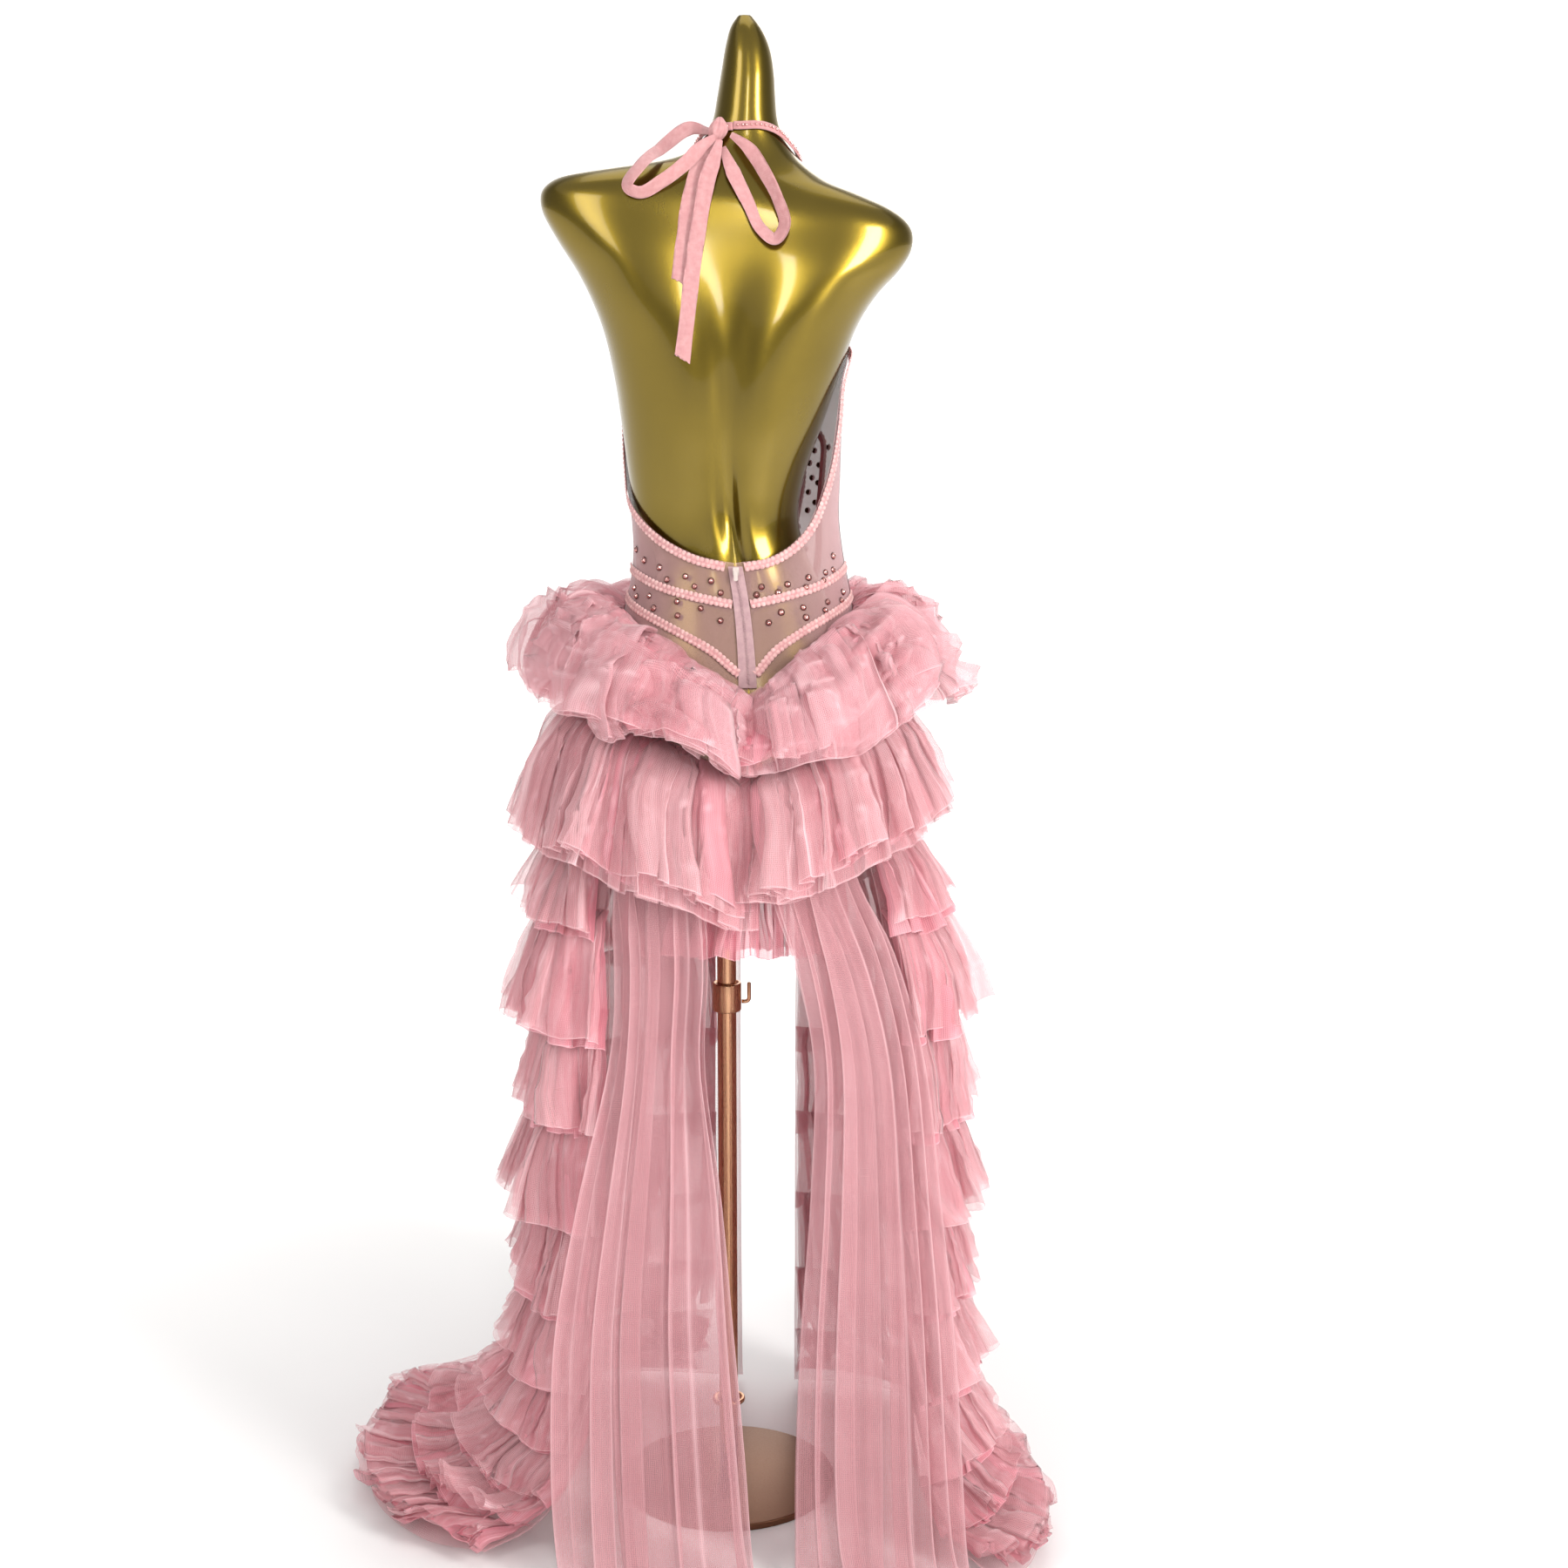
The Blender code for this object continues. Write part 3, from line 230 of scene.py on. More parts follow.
# Ruffle profiles: share of the depth, distance out and drop.
MID_RUFFLE_PROFILE = np.array([
    [0.00, 0.000, 0.000], [0.30, 0.036, 0.022], [0.65, 0.062, 0.075], [1.00, 0.084, 0.150],
])
SHORT_SKIRT_PROFILE = np.array([
    [0.00, 0.000, 0.000], [0.35, 0.020, 0.042], [1.00, 0.034, 0.117],
])

# A hip ruffle's left half: the angles where it starts and ends, before its layers cross a little
HALF_START = 268.2
HALF_END = 91.8

# The second ruffle's waves: how many, how far they stand out and how far they lift the hem
MID_WAVES = 11.0
MID_WAVE_DEPTH = 0.011
MID_WAVE_RISE = 0.006

# The second ruffle falls less far on the wearer's right.
MID_RUFFLE_RIGHT_FALL = 0.92

# Train length profile: distance along the cloth, height, share of the floor spread and share
# of the change from the hip's outline to the train's own.
TRAIN_PROFILE = np.array([
    [0.000, 0.800, 0.000, 0.00], [0.050, 0.752, 0.005, 0.30], [0.105, 0.700, 0.010, 0.65],
    [0.210, 0.597, 0.010, 1.00], [0.315, 0.492, 0.012, 1.00], [0.420, 0.388, 0.018, 1.00],
    [0.525, 0.286, 0.040, 1.00], [0.620, 0.193, 0.100, 1.00], [0.700, 0.118, 0.210, 1.00],
    [0.770, 0.063, 0.370, 1.00], [0.840, 0.028, 0.600, 1.00], [0.920, 0.010, 0.930, 1.00],
])

# Train outlines seen from above: x, y, and how far each spreads over the floor in x and y.
TRAIN_LEFT_PLAN = np.array([
    [-0.118, -0.122, -0.150, -0.065], [-0.156, -0.106, -0.190, -0.045],
    [-0.178, -0.052, -0.235, -0.010], [-0.178, 0.020, -0.255, 0.050],
    [-0.151, 0.092, -0.240, 0.110], [-0.088, 0.142, -0.130, 0.140],
    [0.012, 0.158, 0.000, 0.110],
])
TRAIN_RIGHT_PLAN = np.array([
    [0.174, -0.122, 0.105, -0.100], [0.202, -0.104, 0.125, -0.120],
    [0.219, -0.052, 0.132, -0.080], [0.217, 0.016, 0.115, -0.010],
    [0.194, 0.086, 0.085, 0.045], [0.142, 0.140, 0.048, 0.085],
    [0.076, 0.160, 0.000, 0.090],
])
# The share of each train's width that its tiers cover
TIERS_END = {"left": 0.955, "right": 1.0}
TRAIN_LEFT_ANGLES = (218.0, 97.0)
TRAIN_RIGHT_ANGLES = (324.0, 437.0)
# Points along the gathered edge of a tier
TRAIN_LEFT_COLUMNS = 280
TRAIN_RIGHT_COLUMNS = 260

# Train tiers: where each starts along the train, its length, flare, wave depth, wave count and
# where its waves start.
TRAIN_LEFT_TIERS = np.array([
    [0.000, 0.118, 0.042, 0.011, 5.6, 0.10], [0.105, 0.120, 0.046, 0.013, 6.1, 0.55],
    [0.210, 0.119, 0.040, 0.013, 5.7, 0.25], [0.315, 0.121, 0.050, 0.014, 6.2, 0.80],
    [0.420, 0.118, 0.042, 0.013, 5.8, 0.40], [0.525, 0.106, 0.040, 0.012, 6.0, 0.05],
    [0.615, 0.092, 0.040, 0.011, 5.7, 0.65], [0.690, 0.090, 0.040, 0.011, 6.2, 0.30],
    [0.765, 0.088, 0.038, 0.011, 5.9, 0.90], [0.838, 0.084, 0.034, 0.010, 6.1, 0.45],
])
TRAIN_RIGHT_TIERS = np.array([
    [0.000, 0.118, 0.034, 0.010, 5.3, 0.35], [0.105, 0.119, 0.044, 0.013, 5.6, 0.00],
    [0.210, 0.121, 0.042, 0.013, 5.2, 0.70], [0.315, 0.120, 0.048, 0.014, 5.7, 0.20],
    [0.420, 0.119, 0.042, 0.013, 5.4, 0.60], [0.525, 0.116, 0.042, 0.012, 5.6, 0.15],
    [0.625, 0.108, 0.040, 0.011, 5.3, 0.85], [0.718, 0.104, 0.038, 0.011, 5.7, 0.50],
    [0.808, 0.112, 0.034, 0.010, 5.4, 0.25],
])

# Overlays: height, x and y of the edge by the centre back, x and y of the outer edge.
OVERLAY_LEFT_ROWS = np.array([
    [0.745, -0.020, -0.160, -0.112, -0.112], [0.650, -0.020, -0.172, -0.105, -0.140],
    [0.550, -0.024, -0.180, -0.110, -0.158], [0.410, -0.012, -0.190, -0.137, -0.196],
    [0.270, -0.004, -0.196, -0.158, -0.214], [0.130, 0.006, -0.202, -0.162, -0.222],
    [0.045, 0.012, -0.220, -0.158, -0.238], [0.014, 0.018, -0.264, -0.150, -0.276],
    [0.008, 0.026, -0.335, -0.136, -0.340], [0.008, 0.032, -0.410, -0.120, -0.408],
])
OVERLAY_RIGHT_ROWS = np.array([
    [0.745, 0.050, -0.160, 0.132, -0.108], [0.650, 0.078, -0.174, 0.172, -0.150],
    [0.550, 0.094, -0.183, 0.198, -0.182], [0.410, 0.090, -0.190, 0.212, -0.200],
    [0.270, 0.080, -0.196, 0.224, -0.212], [0.130, 0.075, -0.202, 0.232, -0.222],
    [0.045, 0.075, -0.222, 0.238, -0.238], [0.014, 0.076, -0.270, 0.246, -0.278],
    [0.008, 0.080, -0.345, 0.258, -0.345], [0.008, 0.084, -0.425, 0.268, -0.420],
])
OVERLAY_LEFT_ANGLES = (266.0, 224.0)
OVERLAY_RIGHT_ANGLES = (275.0, 318.0)

# The tie: x, height and distance off the form's back along each strip's middle.
LOOP_LEFT_PATH = np.array([
    [-0.012, 1.494, 0.012], [-0.030, 1.499, 0.016], [-0.058, 1.482, 0.016],
    [-0.082, 1.458, 0.015], [-0.094, 1.438, 0.012], [-0.084, 1.433, 0.007],
    [-0.060, 1.444, 0.0085], [-0.036, 1.462, 0.0105], [-0.016, 1.482, 0.0105],
    [-0.006, 1.488, 0.0105],
])
LOOP_RIGHT_PATH = np.array([
    [0.010, 1.490, 0.012], [0.026, 1.478, 0.014], [0.044, 1.452, 0.014],
    [0.058, 1.424, 0.014], [0.064, 1.400, 0.011], [0.054, 1.386, 0.007],
    [0.040, 1.396, 0.005], [0.026, 1.424, 0.004], [0.012, 1.452, 0.004],
    [0.001, 1.478, 0.004],
])
TAIL_SHORT_PATH = np.array([
    [-0.009, 1.484, 0.0060], [-0.021, 1.464, 0.0018], [-0.027, 1.448, 0.0018],
    [-0.034, 1.415, 0.0018], [-0.039, 1.380, 0.0010], [-0.043, 1.345, 0.0002],
])
TAIL_LONG_PATH = np.array([
    [-0.002, 1.485, 0.0100], [-0.007, 1.468, 0.0085], [-0.013, 1.450, 0.0075],
    [-0.021, 1.410, 0.0065], [-0.028, 1.365, 0.0050], [-0.034, 1.315, 0.0025],
    [-0.040, 1.268, 0.0000],
])
RIBBON_WIDTH = 0.017
RIBBON_WALL = 0.0012
KNOT_CENTRE = (-0.003, 1.492)
KNOT_HALF_SIZE = (0.0102, 0.0060, 0.0100)
KNOT_OFF_FORM = 0.0108

# Finer relief of the form's back: height, angle off the centre back, how tall and how wide each
# swell is, and its depth.
FORM_RELIEF = (
    (1.085, -9.0, 0.034, 8.0, 0.0034),
    (1.085, 12.0, 0.034, 8.0, 0.0030),
    (1.108, 2.0, 0.036, 4.5, -0.0034),
    (1.150, -24.0, 0.060, 12.0, 0.0020),
    (1.150, 26.0, 0.060, 12.0, 0.0020),
    (1.165, 1.0, 0.075, 4.5, -0.0040),
    (1.125, -9.0, 0.045, 6.0, 0.0026),
    (1.125, 11.0, 0.045, 6.0, 0.0026),
    (1.250, 1.0, 0.060, 5.0, -0.0024),
)

# Loops along the braid
SCALLOP = 0.0052
STONE_RADIUS = 0.0029
BEAD_RADIUS = 0.0016
BEAD_STEP = 0.0046

# Stones on the back, by where the photo shows them in its 1800 x 1800 pixels.
STONE_PIXELS = (
    (731, 631), (740, 644), (757, 651), (766, 665), (787, 662), (798, 673), (817, 668), (828, 681),
    (868, 683), (874, 673), (894, 681), (903, 672), (925, 674), (928, 664), (945, 667), (947, 657),
    (956, 653), (956, 639), (729, 674), (731, 685), (745, 683), (751, 698), (778, 691), (778, 706),
    (805, 698), (827, 713), (883, 715), (897, 702), (922, 697), (925, 709), (947, 701), (950, 690),
    (965, 689), (967, 679),
)

# The front's braid and stones, by where the photo shows their backs through the open waist: angle
# and height on the wearer's right; the left side has the same.
FRONT_STONES = (
    (37.2, 1.2025), (40.6, 1.168), (44.6, 1.1545), (36.7, 1.153), (42.4, 1.139), (37.4, 1.134),
    (45.1, 1.1235), (39.7, 1.113), (46.1, 1.104), (27.2, 1.1725), (45.0, 1.081), (51.0, 1.062),
    (54.5, 1.086), (49.0, 1.038), (58.0, 1.047),
)
FRONT_BRAID_OUTER = np.array([
    [42.1, 1.1915], [37.7, 1.1860], [33.6, 1.1790], [32.4, 1.1690], [32.9, 1.1585],
    [33.9, 1.1390], [34.7, 1.1245], [37.5, 1.0900], [43.0, 1.0520], [52.0, 1.0220],
])
FRONT_BRAID_INNER = np.array([
    [49.4, 1.1720], [49.9, 1.1545], [50.1, 1.1375], [50.9, 1.1245], [52.6, 1.1125],
    [57.0, 1.0850], [62.0, 1.0500], [66.0, 1.0250],
])


def smooth(table, at):
    """Each column of the table at this value of the first, along a curve through the rows."""
    keys = table[:, 0]
    slopes = np.gradient(table, keys, axis=0)
    at = np.clip(np.asarray(at, float), keys[0], keys[-1])
    row = np.clip(np.searchsorted(keys, at, side="right") - 1, 0, len(keys) - 2)
    span = keys[row + 1] - keys[row]
    t = ((at - keys[row]) / span)[..., None]
    span = span[..., None]
    start = (2 * t**3 - 3 * t**2 + 1) * table[row] + (t**3 - 2 * t**2 + t) * span * slopes[row]
    end = (3 * t**2 - 2 * t**3) * table[row + 1] + (t**3 - t**2) * span * slopes[row + 1]
    return start + end


def along(rows, share):
    """The rows, evenly spaced, read at this share of the way from the first to the last."""
    table = np.column_stack([np.linspace(0.0, 1.0, len(rows)), rows])
    return smooth(table, share)[..., 1:]


def section(height, angle, ease):
    """Points of the body's outline at this height, moved out by ease: left, right, back, front."""
    left, right, back, front, mid_x, mid_y, power, tilt = np.moveaxis(
        smooth(FORM_SECTIONS, height)[..., 1:], -1, 0
    )
    across, deep = np.cos(np.radians(angle)), np.sin(np.radians(angle))
    half_x = np.where(across >= 0, right - mid_x + ease[..., 1], mid_x - left + ease[..., 0])
    half_y = np.where(deep >= 0, front - mid_y + ease[..., 3], mid_y - back + ease[..., 2])
    x = mid_x + half_x * np.sign(across) * np.abs(across) ** (2 / power)
    y = mid_y + half_y * np.sign(deep) * np.abs(deep) ** (2 / power)
    return np.stack([x, y, height + tilt * (x - mid_x)], axis=-1)


def form_surface(angle, height):
    """The form, with the furrow of its spine and its two shoulder blades."""
    angle, height = np.broadcast_arrays(np.asarray(angle, float), np.asarray(height, float))
    points = section(height, angle, np.zeros(angle.shape + (4,)))
    from_back = off_centre_back(angle)
    on_spine = np.clip((height - 0.96) / 0.10, 0, 1) * np.clip((1.43 - height) / 0.12, 0, 1)
    furrow = FURROW_DEPTH * on_spine * np.exp(-((from_back / FURROW_WIDTH) ** 2))
    blade_row = np.exp(-(((height - 1.335) / 0.055) ** 2))
    blades = BLADE_HEIGHT * blade_row * np.exp(-(((np.abs(from_back) - 36.0) / 16.0) ** 2))
    points[..., 1] += furrow - blades
    return points


def dress_surface(angle, height, lift=0.0):
    """The middle of the bodice's cloth, moved out by lift."""
    angle, height = np.broadcast_arrays(np.asarray(angle, float), np.asarray(height, float))
    level = np.maximum(height, LOWEST_HIP_SECTION)
    ease = smooth(DRESS_EASE, level)[..., 1:] + np.asarray(lift, float)[..., None]
    points = section(level, angle, ease)
    points[..., 2] += height - level
    return points


def outward(angle, height):
    """The level direction straight out of the dress there."""
    step = dress_surface(angle + 0.5, height) - dress_surface(angle - 0.5, height)
    normal = np.stack([step[..., 1], -step[..., 0], np.zeros_like(step[..., 0])], axis=-1)
    return normal / np.linalg.norm(normal, axis=-1, keepdims=True)


def unit(vectors):
    return vectors / np.maximum(np.linalg.norm(vectors, axis=-1, keepdims=True), 1e-12)


def travelled(points):
    """How far along a path each of its points is."""
    return np.concatenate([[0], np.cumsum(np.linalg.norm(np.diff(points, axis=0), axis=1))])


def off_centre_back(angle):
    """Degrees from the centre back, from -180 to 180."""
    return (angle - 270.0 + 180.0) % 360.0 - 180.0


def softened(rows, times):
    """The rows with small kinks between them taken out; the first and last stay."""
    rows = rows.copy()
    for _ in range(times):
        rows[1:-1] = 0.25 * rows[:-2] + 0.5 * rows[1:-1] + 0.25 * rows[2:]
    return rows


def from_ends(u, width):
    """0 at both ends of the shares and 1 from this far inside."""
    return np.clip(np.minimum(u, 1 - u) / width, 0, 1)


def sheet_normals(grid):
    """Unit normals of a grid of points, from its neighbours along rows and columns."""
    down = np.gradient(grid, axis=0)
    side = np.gradient(grid, axis=1)
    return unit(np.cross(side, down))


def directions_on_dress(points, angles, heights):
    """Along, across and out of the dress's cloth at points of a path on it."""
    along_path = unit(np.gradient(points, axis=0))
    turn = dress_surface(angles + 0.4, heights) - dress_surface(angles - 0.4, heights)
    rise = dress_surface(angles, heights + 0.002) - dress_surface(angles, heights - 0.002)
    out = unit(np.cross(turn, rise))
    return along_path, unit(np.cross(out, along_path)), out


def wave(share, count, start):
    """An uneven row of waves from -1 to 1."""
    lead = 0.45 * np.sin(2 * math.pi * (1.7 * share + start))
    return np.sin(2 * math.pi * (count * share + start) + lead)


def train_surface(plan, angles, share, distance):
    """A train's base panel: share across it and distance down it."""
    share, distance = np.broadcast_arrays(np.asarray(share, float), np.asarray(distance, float))
    start, end = angles
    height, spread, change = np.moveaxis(smooth(TRAIN_PROFILE, distance)[..., 1:], -1, 0)
    hip = dress_surface(start + (end - start) * share, np.full(share.shape, TRAIN_SEAM),
                        LIFT_ON_PANEL)
    low = along(plan, share)
    x = hip[..., 0] + (low[..., 0] - hip[..., 0]) * change + low[..., 2] * spread
    y = hip[..., 1] + (low[..., 1] - hip[..., 1]) * change + low[..., 3] * spread
    return np.stack([x, y, height], axis=-1)


def train_normals(plan, angles, share, distance):
    step = 0.004
    across = train_surface(plan, angles, share + step, distance) - train_surface(
        plan, angles, share - step, distance
    )
    down = train_surface(plan, angles, share, distance + step) - train_surface(
        plan, angles, share, distance - step
    )
    normal = unit(np.cross(down, across))
    middle = np.array([0.02, 0.0, 0.3])
    point = train_surface(plan, angles, np.array(0.4), np.array(0.4))
    probe = train_surface(plan, angles, np.array(0.4), np.array(0.404)) - point
    side = train_surface(plan, angles, np.array(0.404), np.array(0.4)) - point
    facing = np.dot(np.cross(probe, side), point - middle)
    return normal if facing > 0 else -normal


def back_depth(x, height):
    """How far back the form reaches at this x and height."""
    angles = np.linspace(181.0, 359.0, 180)
    heights = np.full_like(angles, height)
    for _ in range(3):
        points = form_surface(angles, heights)
        heights = heights + (height - points[:, 2])
    order = np.argsort(points[:, 0])
    return float(np.interp(x, points[order, 0], points[order, 1]))


def blobs(seed, u, v, across, down):
    """Smooth uneven swells from -1 to 1 over shares u and v."""
    table = np.random.RandomState(seed).uniform(-1, 1, (down + 2, across + 2))
    x = np.clip(u, 0, 1) * across
    y = np.clip(v, 0, 1) * down
    x, y = np.broadcast_arrays(x, y)
    i = x.astype(int)
    j = y.astype(int)
    s = (x - i) ** 2 * (3 - 2 * (x - i))
    t = (y - j) ** 2 * (3 - 2 * (y - j))
    upper = table[j, i] * (1 - s) + table[j, i + 1] * s
    lower = table[j + 1, i] * (1 - s) + table[j + 1, i + 1] * s
    return upper * (1 - t) + lower * t


def uneven_parts(u, count, chance):
    """Parts of uneven width along u: which one each point is in, how far it is through it, and
    that part's width."""
    widths = chance.uniform(0.45, 1.7, count)
    widths = widths / widths.sum()
    edges = np.concatenate([[0], np.cumsum(widths)])
    which = np.clip(np.searchsorted(edges, u, side="right") - 1, 0, count - 1)
    return which, (u - edges[which]) / widths[which], widths[which]


def pleats(u, count, seed, overlap):
    """Uneven folded pleats along u: how far each point stands out, how far it moves along as a
    share of the width, and how near it is to a crease."""
    chance = np.random.RandomState(seed)
    which, part, width = uneven_parts(u, count, chance)
    turn = chance.uniform(0.54, 0.78, count)[which]
    depth = chance.uniform(0.45, 1.25, count)[which]
    over = overlap * chance.uniform(0.2, 1.5, count)[which]
    turned_over = chance.uniform(0, 1, count)[which] < 0.35
    part = np.where(turned_over, 1 - part, part)
    forward = part < turn
    out = np.where(forward, part / turn, (1 - part) / (1 - turn)) * depth - 0.42
    side = np.where(forward, (1 + over) * part / turn, 1 + over * (1 - part) / (1 - turn)) - part
    side = np.where(turned_over, -side, side) * width
    near = np.minimum(np.abs(part - turn), np.minimum(part, 1 - part))
    crease = np.exp(-((near * width * count / 0.035) ** 2))
    return out, side, crease


def loops(u, count, seed, lean):
    """Uneven round pleats that bulge like organ pipes: how far each point stands out, and how
    far it moves along as a share of the width."""
    chance = np.random.RandomState(seed)
    which, part, width = uneven_parts(u, count, chance)
    depth = chance.uniform(0.5, 1.35, count)[which]
    tilt = chance.uniform(-1.0, 1.0, count)[which]
    bulge = chance.uniform(0.07, 0.20, count)[which]
    rise = 0.5 - 0.5 * np.cos(2 * math.pi * part)
    side = lean * tilt * rise + bulge * np.sin(4 * math.pi * part)
    return rise * depth - 0.42, side * width


def out_normals(grid):
    """Normals of the grid that point up and away from the dress's middle."""
    normals = sheet_normals(grid)
    away = grid - np.array([0.02, 0.0, 0.0])
    away[..., 2] = 0.06
    return normals if (normals * away).sum() > 0 else -normals


def hem_shares(rows):
    """Shares down a sheet, with two close rows that mark its cut edge."""
    return np.concatenate([np.linspace(0, 0.975, rows - 2), [0.988, 1.0]])


def edge_shares(columns):
    """Shares across a sheet, with close columns at both cut edges."""
    return np.concatenate([[0, 0.006], np.linspace(0.014, 0.986, columns - 4), [0.994, 1]])


def slid(grid, u, moved):
    """The grid with each point moved along its own row, from share u to share moved."""
    result = np.empty_like(grid)
    for row, shares in enumerate(moved):
        for axis in range(3):
            result[row, :, axis] = np.interp(shares, u, grid[row, :, axis])
    return result


def gathered(base, u, v, seed, pleating, fullness):
    """The sheet with pleats that start fine at its top and join into large ones at its hem."""
    counts, depths, leans, rise, droop, crumple = pleating
    rows, columns = base.shape[:2]
    u = u[None, :]
    v = v[:, None]
    drift = 0.4 / counts[0] * blobs(seed + 5, u, v, 7, 2) * v
    lean = leans[0] + (leans[1] - leans[0]) * v
    shares = (v**0.9, v**0.5 * (1 - 0.45 * v), np.minimum(1, 0.3 + 6 * v) * (1 - 0.85 * v))
    at_ends = from_ends(u, 0.03)
    normals = out_normals(base)
    stand, moved, fine = 0, u + drift * at_ends, 0
    for k, (count, depth, share) in enumerate(zip(counts, depths, shares)):
        out, side = loops(u, count, seed + 11 * k, lean / (1 + 0.4 * k))
        side = side * np.minimum(1, 4 * share) * at_ends
        stand = stand + fullness * depth * share * out
        if k == 0:
            # painted shade: tone is darker in the hollows of the large pleats and lighter on their
            # crests
            tone = np.clip(0.42 + 0.6 * out, 0, 1) * np.ones((rows, 1))
        if k < 2:
            moved = moved + side
        else:
            fine = side
    # painted highlight: edge is high where a pleat turns over; the net is also closer there
    turned = np.gradient(moved, axis=1) / np.gradient(u, axis=1)
    edge = np.exp(-((turned / 0.34) ** 2)) * np.clip(v * 3, 0, 1)
    normals = unit(slid(normals, u[0], moved + fine))
    grid = slid(base, u[0], moved + fine) + normals * stand[..., None]
    if crumple:
        wander = blobs(seed + 72, u, v, counts[0], 3) * 0.9 / counts[0]
        sag = 0.24 * blobs(seed + 73, u, v, counts[0], 3)
        ridge = np.abs(blobs(seed + 71, u + wander, v + sag, int(counts[0] * 1.6), 4))
        raised = fullness * crumple * np.minimum(1, 3 * v) * (0.5 - ridge)
        grid = grid + normals * raised[..., None]
        # painted highlight along the crumpled ridges, where the net is also closer
        edge = np.maximum(edge, 0.55 * np.exp(-((ridge / 0.03) ** 2)) * np.minimum(1, 4 * v))
    first, _ = loops(u, counts[0], seed, 0.5)
    grid[..., 2] += fullness * v**2 * (rise * first + droop * blobs(seed + 61, u, v, 5, 1))
    grid[-2:, :, 2] += HEM_RAG * np.random.RandomState(seed + 3).uniform(-1, 1, columns)
    # the cut edge: closer net, with a painted highlight
    edge = np.maximum(edge, 0.75 * np.clip((v - 0.988) / 0.012, 0, 1))
    return grid, tone, edge


def finer(rows, count):
    """The same sheet with this many rows."""
    flat = rows.reshape(len(rows), -1)
    return along(flat, np.linspace(0, 1, count)).reshape(count, *rows.shape[1:])


def linked(name, data):
    """An object with this data in the scene."""
    thing = bpy.data.objects.new(name, data)
    bpy.context.scene.collection.objects.link(thing)
    return thing


def grid_object(name, grid, material, shade=None, wrap=False, edge=None):
    """A mesh over a grid of points, with its cloth lengths in metres as its UV map."""
    rows, columns = grid.shape[:2]
    mesh = bpy.data.meshes.new(name)
    index = np.arange(rows * columns).reshape(rows, columns)
    if wrap:
        index = np.concatenate([index, index[:, :1]], axis=1)
    a, b = index[:-1, :-1], index[:-1, 1:]
    c, d = index[1:, 1:], index[1:, :-1]
    faces = np.stack([a, b, c, d], axis=-1).reshape(-1, 4)
    mesh.vertices.add(rows * columns)
    mesh.vertices.foreach_set("co", np.ascontiguousarray(grid, np.float32).ravel())
    mesh.loops.add(faces.size)
    mesh.loops.foreach_set("vertex_index", faces.ravel().astype(np.int32))
    mesh.polygons.add(len(faces))
    mesh.polygons.foreach_set("loop_start", np.arange(0, faces.size, 4, dtype=np.int32))
    mesh.update(calc_edges=True)
    mesh.validate()
    mesh.shade_smooth()
    closed = np.concatenate([grid, grid[:, :1]], axis=1) if wrap else grid
    steps = np.linalg.norm(np.diff(closed, axis=1), axis=2).mean(axis=0)
    drops = np.linalg.norm(np.diff(grid, axis=0), axis=2).mean(axis=1)
    along_both = [np.concatenate([[0], np.cumsum(sizes)]) for sizes in (steps, drops)]
    uv = np.stack(np.meshgrid(*along_both), axis=-1)
    corners = np.stack([uv[:-1, :-1], uv[:-1, 1:], uv[1:, 1:], uv[1:, :-1]], axis=2)
    layer = mesh.uv_layers.new(name="cloth")
    layer.data.foreach_set("uv", np.ascontiguousarray(corners, np.float32).ravel())
    for key, given, plain in (("shade", shade, 0.5), ("edge", edge, 0.0)):
        tone = mesh.attributes.new(key, "FLOAT", "POINT")
        values = np.full(rows * columns, plain) if given is None else np.asarray(given).ravel()
        tone.data.foreach_set("value", values.astype(np.float32))
    mesh.materials.append(material)
    return linked(name, mesh)


def place(thing, nodes, body="dress_and_form"):
    """Makes the piece ride on its body and stand for its CAD nodes."""
    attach(thing, body)
    if nodes:
        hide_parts(*nodes)
    return thing


def sheet_piece(name, grid, material, node, shade=None, edge=None):
    thing = grid_object(name, grid, material, shade, edge=edge)
    place(thing, [node])
    return thing


def ruffle_piece(name, base, share, parts, seed, pleating, full, material, cad,
                 lowest=0.0):
    """Pleats a layer of a ruffle, keeps it off the floor and makes it one sheet."""
    grid, shade, edge = gathered(base, share, parts, seed, pleating, full)
    grid[..., 2] = np.maximum(grid[..., 2], lowest)
    return sheet_piece(name, grid, MATERIALS[material], cad,
                       shade, edge)


def joined(name, parts, material, nodes=(), body="dress_and_form", smooth_faces=True):
    """One mesh from many (points, faces) pairs."""
    points, faces, start = [], [], 0
    for some_points, some_faces in parts:
        points.append(np.asarray(some_points, float).reshape(-1, 3))
        faces.extend([tuple(int(i) + start for i in face) for face in some_faces])
        start += len(points[-1])
    mesh = bpy.data.meshes.new(name)
    mesh.from_pydata(np.concatenate(points).tolist(), [], faces)
    mesh.validate()
    mesh.update()
    if smooth_faces:
        mesh.shade_smooth()
    mesh.materials.append(material)
    return place(linked(name, mesh), list(nodes), body)


def tube(rings, ends=True):
    """Points and faces of a closed skin through rings of points."""
    rings = np.asarray(rings, float)
    rows, columns = rings.shape[:2]
    faces = []
    for r in range(rows - 1):
        for c in range(columns):
            d = (c + 1) % columns
            faces.append((r * columns + c, r * columns + d, (r + 1) * columns + d,
                          (r + 1) * columns + c))
    if ends:
        faces.append(tuple(range(columns))[::-1])
        faces.append(tuple((rows - 1) * columns + c for c in range(columns)))
    return rings.reshape(-1, 3), faces


def lathe(profile, columns, centre=(0.0, 0.0)):
    """A closed skin of revolution through rings of radius and height."""
    turn = np.linspace(0, 2 * math.pi, columns, endpoint=False)
    rings = [np.column_stack([centre[0] + radius * np.cos(turn), centre[1] + radius * np.sin(turn),
                              np.full(columns, height)]) for radius, height in profile]
    return rings


